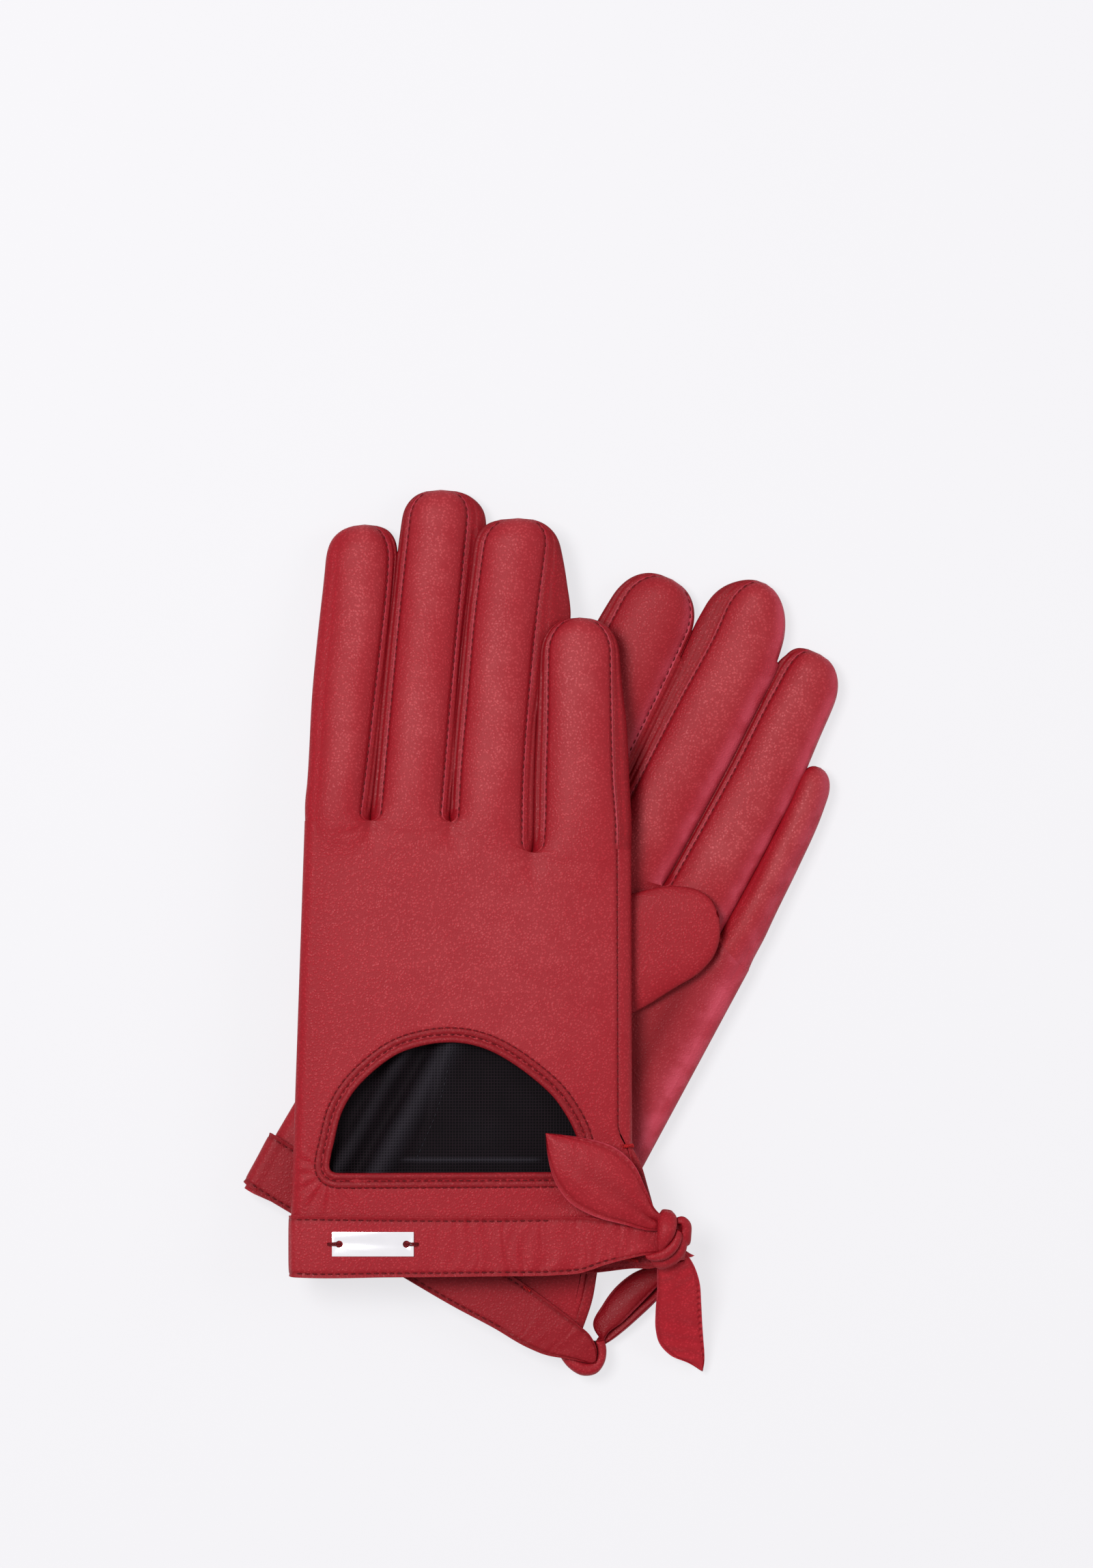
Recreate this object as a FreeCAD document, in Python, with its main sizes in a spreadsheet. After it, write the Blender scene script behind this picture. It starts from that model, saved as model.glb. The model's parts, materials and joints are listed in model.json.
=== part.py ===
import FreeCAD, Part
import math
import os
import Sketcher

# A pair of leather driving gloves. The left glove lies palm up on the table and the right glove lies
# back up on top of it. Each glove has its own frame: x across the hand towards the little finger,
# y from the wrist edge to the fingertips, z up, with z = 0 at the underside of its hand panels.

# alias, value in mm or degrees, what it is
sizes = [
    ("wristWidth", 92.5, "hand panels across the wrist edge"),
    ("foldSlant", 4.3, "how far the folded index side comes in from wrist to finger root"),
    ("outerSlant", 0.4, "how far the outer side comes in from wrist to finger root"),
    ("gloveDepth", 8.4, "outside height of a hand or finger, panel to panel"),
    ("leather", 0.9, "thickness of the glove leather"),
    ("cloth", 0.5, "thickness of the lining"),
    ("liningGap", 0.2, "clearance between side walls and lining"),
    ("bodyGap", 0.3, "clearance between pieces that move apart"),
    ("ventLength", 36.0, "open side slit, up from the wrist edge"),
    ("rightSlitX1", -24.2, "right glove: slit between index and middle finger, across"),
    ("rightSlitY1", 122.7, "its closed end, up from the wrist"),
    ("rightSlitX2", -2.6, "slit between middle and ring finger"),
    ("rightSlitY2", 122.4, ""),
    ("rightSlitX3", 19.0, "slit between ring and little finger"),
    ("rightSlitY3", 114.1, ""),
    ("rightIndexRootX", -33.4, "middle of the index finger's root"),
    ("rightIndexRootY", 124.5, ""),
    ("rightIndexRootWidth", 17.0, ""),
    ("rightIndexTipWidth", 16.0, ""),
    ("rightIndexLength", 79.0, ""),
    ("rightIndexLean", 3.8, "towards the little finger"),
    ("rightMiddleRootX", -13.2, ""),
    ("rightMiddleRootY", 127.0, ""),
    ("rightMiddleRootWidth", 17.0, ""),
    ("rightMiddleTipWidth", 16.0, ""),
    ("rightMiddleLength", 85.5, ""),
    ("rightMiddleLean", 5.2, ""),
    ("rightRingRootX", 8.2, ""),
    ("rightRingRootY", 127.0, ""),
    ("rightRingRootWidth", 17.0, ""),
    ("rightRingTipWidth", 16.5, ""),
    ("rightRingLength", 77.0, ""),
    ("rightRingLean", 5.1, ""),
    ("rightLittleRootX", 33.4, ""),
    ("rightLittleRootY", 116.5, ""),
    ("rightLittleRootWidth", 22.5, ""),
    ("rightLittleTipWidth", 16.5, ""),
    ("rightLittleLength", 60.5, ""),
    ("rightLittleLean", 0.5, ""),
    ("leftSlitX1", -7.3, "left glove, whose fingers lie rolled over to the outer side"),
    ("leftSlitY1", 123.0, ""),
    ("leftSlitX2", 14.6, ""),
    ("leftSlitY2", 127.5, ""),
    ("leftSlitX3", 34.1, ""),
    ("leftSlitY3", 122.0, ""),
    ("leftIndexRootX", -20.3, ""),
    ("leftIndexRootY", 127.5, ""),
    ("leftIndexRootWidth", 22.5, ""),
    ("leftIndexTipWidth", 21.5, ""),
    ("leftIndexLength", 75.0, ""),
    ("leftIndexLean", -2.1, ""),
    ("leftMiddleRootX", 4.0, ""),
    ("leftMiddleRootY", 130.5, ""),
    ("leftMiddleRootWidth", 19.0, ""),
    ("leftMiddleTipWidth", 20.0, ""),
    ("leftMiddleLength", 82.5, ""),
    ("leftMiddleLean", -3.5, ""),
    ("leftRingRootX", 24.5, ""),
    ("leftRingRootY", 130.5, ""),
    ("leftRingRootWidth", 17.5, ""),
    ("leftRingTipWidth", 18.0, ""),
    ("leftRingLength", 73.0, ""),
    ("leftRingLean", -2.8, ""),
    ("leftLittleRootX", 40.1, ""),
    ("leftLittleRootY", 120.5, ""),
    ("leftLittleRootWidth", 10.5, "mostly under the ring finger"),
    ("leftLittleTipWidth", 10.5, ""),
    ("leftLittleLength", 56.0, ""),
    ("leftLittleLean", -3.4, ""),
    ("thumbRootWidth", 26.0, ""),
    ("thumbTipWidth", 19.0, ""),
    ("thumbLength", 76.0, ""),
    ("thumbThickness", 3.6, "the thumb is pressed flat against the palm"),
    ("leftThumbX", -24.0, "root of the left thumb, folded across the palm"),
    ("leftThumbY", 76.0, ""),
    ("leftThumbTurn", -51.0, ""),
    ("rightThumbX", -29.0, "root of the right thumb, folded along the index side"),
    ("rightThumbY", 44.0, ""),
    ("rightThumbTurn", -5.0, ""),
    ("windowWidth", 65.0, "D-shaped window in the back"),
    ("windowHeight", 35.2, ""),
    ("windowSide", 7.0, "straight sides of the window above its flat edge"),
    ("windowX", -2.2, ""),
    ("windowY", 28.3, "flat edge of the window, up from the wrist"),
    ("bindingWidth", 2.0, "leather binding round the window"),
    ("bindingProud", 0.5, "binding standing above the panel"),
    ("bindingFit", 0.05, "clearance between binding and panel"),
    ("bandWidth", 16.2, "wrist band along the glove"),
    ("bandEdge", 0.3, "wrist edge to band"),
    ("bandThickness", 1.0, ""),
    ("backBandReach", 5.9, "back band past the hand's outer side, up to the knot"),
    ("palmBandReach", -0.5, "palm band past the outer side; it stops short of it"),
    ("plateLength", 22.0, "metal plate on the back band"),
    ("plateWidth", 6.6, ""),
    ("plateThickness", 0.8, ""),
    ("plateCorner", 1.4, ""),
    ("plateX", -23.5, ""),
    ("plateY", 9.2, ""),
    ("plateHole", 0.9, "radius of the two thread holes"),
    ("plateHoleInset", 2.0, "from the plate's end"),
    ("threadRadius", 0.8, "bunch of thread in a plate hole"),
    ("knotWidth", 9.2, "knot of the tie at the side slit"),
    ("knotLength", 15.2, "along the glove"),
    ("knotRise", 1.4, "above the back band's side of the hand"),
    ("knotDrop", 0.8, "below the hand"),
    ("knotY", 2.6, ""),
    ("knotRound", 2.4, ""),
    ("backTailRootWidth", 6.0, "leaf-shaped end that lies over the back"),
    ("backTailTipWidth", 14.0, ""),
    ("backTailLength", 36.5, ""),
    ("backTailX", 3.35, "out from the hand's outer side"),
    ("backTailY", 16.4, ""),
    ("backTailTurn", 56.0, ""),
    ("freeTailRootWidth", 9.0, "end that hangs past the wrist edge"),
    ("freeTailTipWidth", 12.6, ""),
    ("freeTailLength", 28.6, ""),
    ("rightFreeTailX", 12.35, "out from the hand's outer side"),
    ("rightFreeTailY", 2.2, ""),
    ("rightFreeTailTurn", -177.0, ""),
    ("rightFreeTailFall", 11.5, "how far its tip lies below its root"),
    ("leftFreeTailX", 11.75, ""),
    ("leftFreeTailY", 18.2, ""),
    ("leftFreeTailTurn", -19.0, ""),
    ("leftFreeTailFall", 4.0, ""),
    ("tailThickness", 0.8, ""),
    ("rightX", -21.9, "place of the right glove"),
    ("rightY", -92.4, ""),
    ("rightTurn", 0.0, ""),
    ("leftX", -41.1, "place of the left glove"),
    ("leftY", -93.1, ""),
    ("leftTurn", -28.5, ""),
    ("rightIndexTip", 0.3, "height of the fingertip's underside above the table"),
    ("rightMiddleTip", 0.3, ""),
    ("rightRingTip", 6.0, ""),
    ("rightLittleTip", 11.4, ""),
    ("leftIndexTip", 0.0, ""),
    ("leftMiddleTip", 0.0, ""),
    ("leftRingTip", 0.0, ""),
    ("leftLittleTip", 0.0, ""),
    ("leftRingFold", 1.0, "from the root to the line where the finger can fold clear of the thumb"),
    ("leftLittleFold", 5.0, ""),
]

sides = ("right", "left")
fingers = ("index", "middle", "ring", "little")

doc = FreeCAD.newDocument("DrivingGloves")
sheet = doc.addObject("Spreadsheet::Sheet", "Sizes")
for row, (alias, value, note) in enumerate(sizes, 1):
    sheet.set(f"A{row}", alias)
    sheet.set(f"B{row}", str(value))
    sheet.setAlias(f"B{row}", alias)
    sheet.set(f"C{row}", note)
doc.recompute()

nodes = []


def size(alias):
    return float(sheet.get(alias))


def vector(x, y, z=0.0):
    return FreeCAD.Vector(x, y, z)


def move(x, y, z=0.0):
    return FreeCAD.Placement(vector(x, y, z), FreeCAD.Rotation())


def turn(axis, degrees):
    return FreeCAD.Placement(vector(0, 0, 0), FreeCAD.Rotation(vector(*axis), degrees))


def keep(piece, label, place):
    piece.Label = label
    piece.Placement = place
    nodes.append(piece)
    return piece


# ---- heights and places -------------------------------------------------------------------------

def handHeight(side):
    """Height of the underside of a glove's hand panels above the table."""
    low = size("bandThickness") + size("plateThickness")
    if side == "left":
        return low
    return low + size("gloveDepth") + size("thumbThickness") + size("bodyGap")


def gloveFrame(side):
    place = move(size(side + "X"), size(side + "Y"), handHeight(side))
    return place.multiply(turn((0, 0, 1), size(side + "Turn")))


def backIsUp(side):
    return side == "right"


def layer(side, part, thickness, outside=0.0):
    """Lowest z of a sheet of the back or the palm, outside mm beyond the panel's outer face."""
    if (part == "back") == backIsUp(side):
        return size("gloveDepth") - thickness + outside
    return -outside


def fold(side, finger):
    """Distance from a finger's root to the line about which it folds."""
    if side == "left" and finger in ("ring", "little"):
        return size(side + finger.capitalize() + "Fold")
    return 0.0


def foldText(side, finger):
    if side == "left" and finger in ("ring", "little"):
        return f"Sizes.{side}{finger.capitalize()}Fold"
    return "0"


def rootFrame(side, finger):
    """Middle of the finger's fold line, with y along the finger."""
    name = side + finger.capitalize()
    place = gloveFrame(side).multiply(move(size(name + "RootX"), size(name + "RootY")))
    place = place.multiply(turn((0, 0, 1), -size(name + "Lean")))
    return place.multiply(move(0, fold(side, finger)))


def fingerFrame(side, finger):
    """As rootFrame, clear of the hand by bodyGap and tilted down so that the tip lies low."""
    name = side + finger.capitalize()
    length = size(name + "Length") - fold(side, finger)
    fall = handHeight(side) - size(name + "Tip")
    droop = math.degrees(math.asin(fall / length))
    return rootFrame(side, finger).multiply(move(0, size("bodyGap"))).multiply(turn((1, 0, 0), -droop))


# ---- bodies with sketches -----------------------------------------------------------------------

def newBody(name):
    body = doc.addObject("PartDesign::Body", name)
    body.AllowCompound = True
    return body


def newSketch(body, name, heightText):
    sketch = body.newObject("Sketcher::SketchObject", name)
    plane = [f for f in body.Origin.OriginFeatures if f.Role == "XY_Plane"][0]
    sketch.AttachmentSupport = (plane, [""])
    sketch.MapMode = "FlatFace"
    sketch.setExpression("AttachmentOffset.Base.z", heightText)
    return sketch


def bind(sketch, constraint, name, text):
    number = sketch.addConstraint(constraint)
    sketch.renameConstraint(number, name)
    sketch.setExpression(f".Constraints.{name}", text)


def drawStall(sketch, rootWidth, tipWidth, length):
    """Straight root, tapering sides and a round tip, along +y. The three sizes are expressions."""
    low, high, half = vector(-1, 0), vector(1, 0), 3.0
    sketch.addGeometry(Part.LineSegment(low, high), False)
    sketch.addGeometry(Part.LineSegment(high, vector(1, half)), False)
    ring = Part.Circle(vector(0, half), vector(0, 0, 1), 1)
    sketch.addGeometry(Part.ArcOfCircle(ring, 0, math.pi), False)
    sketch.addGeometry(Part.LineSegment(vector(-1, half), low), False)
    for line in range(4):
        sketch.addConstraint(Sketcher.Constraint("Coincident", line, 2, (line + 1) % 4, 1))
    sketch.addConstraint(Sketcher.Constraint("Symmetric", 0, 1, 0, 2, -1, 1))
    sketch.addConstraint(Sketcher.Constraint("Horizontal", 0))
    sketch.addConstraint(Sketcher.Constraint("PointOnObject", 2, 3, -2))
    sketch.addConstraint(Sketcher.Constraint("Horizontal", 2, 1, 2, 3))
    sketch.addConstraint(Sketcher.Constraint("Horizontal", 2, 2, 2, 3))
    bind(sketch, Sketcher.Constraint("DistanceX", 0, 1, 0, 2, 2.0), "rootWidth", rootWidth)
    bind(sketch, Sketcher.Constraint("Radius", 2, 1.0), "tipRound", f"({tipWidth}) / 2")
    bind(sketch, Sketcher.Constraint("DistanceY", 0, 1, 2, 3, half), "reach",
         f"({length}) - ({tipWidth}) / 2")


def drawRectangle(sketch, left, low, width, height):
    """Rectangle with its lower left corner at left, low. The four sizes are expressions."""
    corners = [vector(1, 1), vector(3, 1), vector(3, 2), vector(1, 2)]
    for number in range(4):
        sketch.addGeometry(Part.LineSegment(corners[number], corners[(number + 1) % 4]), False)
    for line in range(4):
        sketch.addConstraint(Sketcher.Constraint("Coincident", line, 2, (line + 1) % 4, 1))
        kind = "Horizontal" if line % 2 == 0 else "Vertical"
        sketch.addConstraint(Sketcher.Constraint(kind, line))
    bind(sketch, Sketcher.Constraint("DistanceX", -1, 1, 0, 1, 1.0), "left", left)
    bind(sketch, Sketcher.Constraint("DistanceY", -1, 1, 0, 1, 1.0), "low", low)
    bind(sketch, Sketcher.Constraint("DistanceX", 0, 1, 0, 2, 2.0), "width", width)
    bind(sketch, Sketcher.Constraint("DistanceY", 1, 1, 1, 2, 1.0), "height", height)


def pad(body, sketch, name, thickness):
    feature = body.newObject("PartDesign::Pad", name)
    feature.Profile = sketch
    feature.setExpression("Length", thickness)
    body.Tip = feature
    return feature


def solidOf(body):
    doc.recompute()
    return body.Tip


def rounded(body, name, edges, radius):
    base = body.Tip
    feature = body.newObject("PartDesign::Fillet", name)
    feature.Base = (base, edges)
    feature.setExpression("Radius", radius)
    body.Tip = feature


def pocket(body, sketch, name, depth, upward):
    """Cut from the sketch, up along the sketch's normal where upward is true, else down."""
    before = solidOf(body).Shape.Volume
    feature = body.newObject("PartDesign::Pocket", name)
    feature.Profile = sketch
    feature.Reversed = upward
    feature.setExpression("Length", depth)
    body.Tip = feature
    doc.recompute()
    if feature.Shape.Volume > before - 1e-3:
        raise RuntimeError(f"{name} cuts nothing")
    return feature


def stallSizes(side, finger, inset="0"):
    """Root width, tip width and length of a finger as expressions, inset from its outline."""
    start, name = foldText(side, finger), side + finger.capitalize()
    taper = f"(Sizes.{name}TipWidth - Sizes.{name}RootWidth) * {start} / Sizes.{name}Length"
    root = f"Sizes.{name}RootWidth + {taper} - 2 * ({inset})"
    tip = f"Sizes.{name}TipWidth - 2 * ({inset})"
    length = f"Sizes.{name}Length - {start} - ({inset})"
    return root, tip, length


def stallSheet(label, stall, low, thickness, place):
    """A flat piece with the outline of a finger, thumb or tail."""
    body = newBody(label)
    sketch = newSketch(body, label + "_outline", "0")
    drawStall(sketch, *stall)
    pad(body, sketch, label + "_sheet", thickness)
    return keep(body, label, place.multiply(move(0, 0, low)))


def fingerSides(side, finger):
    """The two strips between back and palm: they meet at the fingertip and are open at the root."""
    label = f"{side}_{finger}_sides"
    body = newBody(label)
    outer = newSketch(body, label + "_outer", "Sizes.leather")
    drawStall(outer, *stallSizes(side, finger))
    pad(body, outer, label + "_block", "Sizes.gloveDepth - 2 * Sizes.leather")
    inner = newSketch(body, label + "_inner", "Sizes.leather")
    drawStall(inner, *stallSizes(side, finger, "Sizes.leather"))
    pocket(body, inner, label + "_hollow", "Sizes.gloveDepth", True)
    split = newSketch(body, label + "_split", "0")
    length = f"Sizes.{side}{finger.capitalize()}Length"
    start = f"{length} - {foldText(side, finger)} - 3 * Sizes.leather"
    drawRectangle(split, "-Sizes.bindingFit", start, "2 * Sizes.bindingFit", "6 * Sizes.leather")
    pocket(body, split, label + "_join", "Sizes.gloveDepth", True)
    return keep(body, label, fingerFrame(side, finger))


def fingerLining(side, finger):
    label = f"{side}_{finger}_lining"
    body = newBody(label)
    inset = "Sizes.leather + Sizes.liningGap"
    outer = newSketch(body, label + "_outer", "Sizes.leather")
    drawStall(outer, *stallSizes(side, finger, inset))
    pad(body, outer, label + "_block", "Sizes.gloveDepth - 2 * Sizes.leather")
    inner = newSketch(body, label + "_inner", "Sizes.leather + Sizes.cloth")
    drawStall(inner, *stallSizes(side, finger, inset + " + Sizes.cloth"))
    depth = "Sizes.gloveDepth - 2 * Sizes.leather - 2 * Sizes.cloth"
    pocket(body, inner, label + "_hollow", depth, True)
    return keep(body, label, fingerFrame(side, finger))


def makeFinger(side, finger):
    place = fingerFrame(side, finger)
    for part in ("back", "palm"):
        low = layer(side, part, size("leather"))
        stallSheet(f"{side}_{finger}_{part}", stallSizes(side, finger), low, "Sizes.leather", place)
    fingerSides(side, finger)
    fingerLining(side, finger)


def makeThumb(side):
    stall = ("Sizes.thumbRootWidth", "Sizes.thumbTipWidth", "Sizes.thumbLength")
    place = gloveFrame(side).multiply(move(size(side + "ThumbX"), size(side + "ThumbY")))
    place = place.multiply(turn((0, 0, 1), size(side + "ThumbTurn")))
    low = layer(side, "palm", size("thumbThickness"), size("thumbThickness"))
    stallSheet(f"{side}_thumb", stall, low, "Sizes.thumbThickness", place)


# ---- hand panels: built from points, because their finger roots follow the leaning fingers --------

def rootEnd(side, finger, hand):
    """End of a finger's fold line in the glove's frame; hand is -1 at the index side, 1 at the other."""
    name = side + finger.capitalize()
    root, tip = size(name + "RootWidth"), size(name + "TipWidth")
    width = root + (tip - root) * fold(side, finger) / size(name + "Length")
    place = gloveFrame(side).inverse().multiply(rootFrame(side, finger))
    return place.multVec(vector(hand * width / 2, 0, 0))


def handOutline(side):
    half = size("wristWidth") / 2
    points = [vector(half, 0), vector(-half, 0)]
    for number, finger in enumerate(fingers, 1):
        points.append(rootEnd(side, finger, -1))
        points.append(rootEnd(side, finger, 1))
        if finger != "little":
            points.append(vector(size(f"{side}SlitX{number}"), size(f"{side}SlitY{number}")))
    points[2].x = -half + size("foldSlant")
    points[-1].x = max(points[-1].x, half - size("outerSlant"))
    return points


def handFace(side, inset=0.0):
    points = handOutline(side)
    wire = Part.makePolygon(points + points[:1])
    if inset:
        wire = wire.makeOffset2D(-inset, 2)
    return Part.Face(wire)


def raised(face, low, height):
    solid = face.extrude(vector(0, 0, height))
    solid.translate(vector(0, 0, low))
    return solid


def windowFace(grow):
    """The D-shaped window, grow mm larger all round."""
    half, low = size("windowWidth") / 2 + grow, size("windowY") - grow
    middle = vector(size("windowX"), size("windowY") + size("windowSide"))
    rise = size("windowHeight") - size("windowSide") + grow
    right, left = middle + vector(half, 0), middle - vector(half, 0)
    if rise > half:
        oval = Part.Ellipse(middle + vector(0, rise), left, middle)
        arc = Part.ArcOfEllipse(oval, -math.pi / 2, math.pi / 2)
    else:
        oval = Part.Ellipse(right, middle + vector(0, rise), middle)
        arc = Part.ArcOfEllipse(oval, 0, math.pi)
    corners = [left, vector(left.x, low), vector(right.x, low), right]
    lines = [Part.LineSegment(a, b).toShape() for a, b in zip(corners, corners[1:])]
    return Part.Face(Part.Wire(Part.__sortEdges__([arc.toShape()] + lines)))


def shaped(label, shape, place):
    piece = doc.addObject("Part::Feature", label)
    piece.Shape = shape
    return keep(piece, label, place.multiply(shape.Placement))


def handPanels(side):
    thick, depth = size("leather"), size("gloveDepth")
    hole = windowFace(size("bindingWidth") + size("bindingFit"))
    back = raised(handFace(side).cut(hole), layer(side, "back", thick), thick)
    shaped(f"{side}_back_panel", back, gloveFrame(side))
    palm = raised(handFace(side), layer(side, "palm", thick), thick)
    shaped(f"{side}_palm_panel", palm, gloveFrame(side))
    points = handOutline(side)
    vent = points[0] + (points[-1] - points[0]) * (size("ventLength") / size(side + "LittleRootY"))
    for name, start, end in (("fold_side", points[1], points[2]), ("outer_seam", points[-1], vent)):
        along = (end - start).normalize()
        inward = vector(along.y, -along.x) * thick
        wall = Part.makePolygon([start, end, end + inward, start + inward, start])
        shaped(f"{side}_{name}", raised(Part.Face(wall), thick, depth - 2 * thick), gloveFrame(side))


def windowBinding(side):
    ring = windowFace(size("bindingWidth")).cut(windowFace(0))
    height = size("leather") + size("cloth") + size("bindingProud")
    low = layer(side, "back", height, size("bindingProud"))
    shaped(f"{side}_window_binding", raised(ring, low, height), gloveFrame(side))


def handLining(side):
    """A flat bag open at the wrist, the window and the finger roots."""
    thick, cloth, depth = size("leather"), size("cloth"), size("gloveDepth")
    inset = thick + size("liningGap")
    tall = depth - 2 * thick
    bag = raised(handFace(side, inset), thick, tall)
    room = raised(handFace(side, inset + cloth), thick + cloth, tall - 2 * cloth)
    mouth = size("wristWidth") - 2 * (inset + cloth) - 2 * thick
    rooms = [Part.makeBox(mouth, 4 * inset, tall - 2 * cloth, vector(-mouth / 2, -inset, thick + cloth))]
    for finger in fingers:
        width = (rootEnd(side, finger, 1) - rootEnd(side, finger, -1)).Length - 2 * (inset + cloth)
        way = Part.makeBox(width, 5 * inset, tall - 2 * cloth, vector(-width / 2, -4 * inset, thick + cloth))
        way.Placement = gloveFrame(side).inverse().multiply(rootFrame(side, finger))
        rooms.append(way)
    hole = windowFace(size("bindingWidth") + size("bindingFit"))
    rooms.append(raised(hole, layer(side, "back", thick + 2 * cloth), thick + 2 * cloth))
    bag = bag.cut(room)
    for space in rooms:
        bag = bag.cut(space)
    shaped(f"{side}_hand_lining", bag, gloveFrame(side))


# ---- wrist: bands, plate, knot and tails ----------------------------------------------------------

def makeBand(side, part):
    band = doc.addObject("Part::Box", f"{side}_{part}_band")
    band.setExpression("Length", f"Sizes.wristWidth + Sizes.{part}BandReach")
    band.setExpression("Width", "Sizes.bandWidth")
    band.setExpression("Height", "Sizes.bandThickness")
    low = layer(side, part, size("bandThickness"), size("bandThickness"))
    corner = move(-size("wristWidth") / 2, size("bandEdge"), low)
    keep(band, band.Name, gloveFrame(side).multiply(corner))


def plateFrame(side):
    rise = size("bandThickness") + size("plateThickness")
    low = layer(side, "back", size("plateThickness"), rise)
    return gloveFrame(side).multiply(move(size("plateX"), size("plateY"), low))


def makePlate(side):
    label = f"{side}_plate"
    body = newBody(label)
    blank = newSketch(body, label + "_outline", "0")
    drawRectangle(blank, "-Sizes.plateLength / 2", "-Sizes.plateWidth / 2", "Sizes.plateLength",
                  "Sizes.plateWidth")
    pad(body, blank, label + "_blank", "Sizes.plateThickness")
    upright = [f"Edge{n}" for n, edge in enumerate(solidOf(body).Shape.Edges, 1)
               if edge.BoundBox.ZLength > size("plateThickness") / 2]
    rounded(body, label + "_corners", upright, "Sizes.plateCorner")
    holes = newSketch(body, label + "_holes", "0")
    for number, sign in enumerate(("-1", "1")):
        start = vector(int(sign) * 5, 0)
        holes.addGeometry(Part.Circle(start, vector(0, 0, 1), 1), False)
        holes.addConstraint(Sketcher.Constraint("PointOnObject", number, 3, -1))
        bind(holes, Sketcher.Constraint("Radius", number, 1.0), f"hole{number}", "Sizes.plateHole")
        bind(holes, Sketcher.Constraint("DistanceX", -1, 1, number, 3, start.x), f"place{number}",
             f"{sign} * (Sizes.plateLength / 2 - Sizes.plateHoleInset)")
    pocket(body, holes, label + "_bores", "2 * Sizes.plateThickness", True)
    keep(body, label, plateFrame(side))


def makePlateThread(side):
    """Two short bunches of thread that fill the plate's holes."""
    label = f"{side}_plate_thread"
    bunches = []
    for sign in (-1, 1):
        bunch = doc.addObject("Part::Cylinder", f"{label}_{'west' if sign < 0 else 'east'}")
        bunch.setExpression("Radius", "Sizes.threadRadius")
        bunch.setExpression("Height", "Sizes.plateThickness")
        offset = f"{sign} * (Sizes.plateLength / 2 - Sizes.plateHoleInset)"
        bunch.setExpression("Placement.Base.x", offset)
        bunches.append(bunch)
    pair = doc.addObject("Part::Compound", label)
    pair.Links = bunches
    keep(pair, label, plateFrame(side))


def makeKnot(side):
    label = f"{side}_knot"
    body = newBody(label)
    outline = newSketch(body, label + "_outline", "0")
    drawRectangle(outline, "Sizes.wristWidth / 2 + Sizes.backBandReach", "Sizes.knotY",
                  "Sizes.knotWidth", "Sizes.knotLength")
    pad(body, outline, label + "_block", "Sizes.gloveDepth + Sizes.knotRise + Sizes.knotDrop")
    everyEdge = [f"Edge{n}" for n, edge in enumerate(solidOf(body).Shape.Edges, 1)]
    rounded(body, label + "_rounds", everyEdge, "Sizes.knotRound")
    low = -size("knotDrop") if backIsUp(side) else -size("knotRise")
    keep(body, label, gloveFrame(side).multiply(move(0, 0, low)))


def tailFrame(side, tail):
    """Middle of a tail's root at its underside, with y along the tail."""
    outerSide = size("wristWidth") / 2
    if tail == "back":
        outside = size("bandThickness") + size("tailThickness")
        low = layer(side, "back", size("tailThickness"), outside)
        place = move(outerSide + size("backTailX"), size("backTailY"), low)
        return gloveFrame(side).multiply(place).multiply(turn((0, 0, 1), size("backTailTurn")))
    low = size("gloveDepth") / 2 if side == "left" else 0.0
    across = outerSide + size(side + "FreeTailX")
    place = gloveFrame(side).multiply(move(across, size(side + "FreeTailY"), low))
    place = place.multiply(turn((0, 0, 1), size(side + "FreeTailTurn")))
    droop = math.degrees(math.asin(size(side + "FreeTailFall") / size("freeTailLength")))
    return place.multiply(turn((1, 0, 0), -droop))


def makeTail(side, tail):
    stall = tuple(f"Sizes.{tail}Tail{name}" for name in ("RootWidth", "TipWidth", "Length"))
    stallSheet(f"{side}_{tail}_tail", stall, 0, "Sizes.tailThickness", tailFrame(side, tail))


def makeGlove(side):
    handPanels(side)
    handLining(side)
    windowBinding(side)
    makeThumb(side)
    for finger in fingers:
        makeFinger(side, finger)
    for part in ("back", "palm"):
        makeBand(side, part)
    makePlate(side)
    makePlateThread(side)
    makeKnot(side)
    for tail in ("back", "free"):
        makeTail(side, tail)


def centreOnTable():
    """Puts the middle of the pair over the origin, standing on z = 0, and says how far it moved."""
    box = FreeCAD.BoundBox()
    for piece in nodes:
        box.add(piece.Shape.optimalBoundingBox(False))
    shift = vector(-box.Center.x, -box.Center.y, -box.ZMin)
    for piece in nodes:
        piece.Placement = FreeCAD.Placement(shift, FreeCAD.Rotation()).multiply(piece.Placement)
    doc.recompute()
    return shift


def checkAndWrite():
    for item in doc.Objects:
        if any(word in item.State for word in ("Invalid", "Error")):
            raise RuntimeError(f"{item.Name} failed: {item.State}")
    for piece in nodes:
        if piece.Shape.isNull() or not piece.Shape.isValid() or not piece.Shape.Solids:
            raise RuntimeError(f"{piece.Label} is not a valid solid")
    os.makedirs("parts", exist_ok=True)
    for piece in nodes:
        piece.Shape.exportStep(f"parts/{piece.Label}.step")


for glove in sides:
    makeGlove(glove)
doc.recompute()
pairShift = centreOnTable()
checkAndWrite()
print("pieces", len(nodes), "moved by", pairShift)
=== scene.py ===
import json
import math

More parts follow.
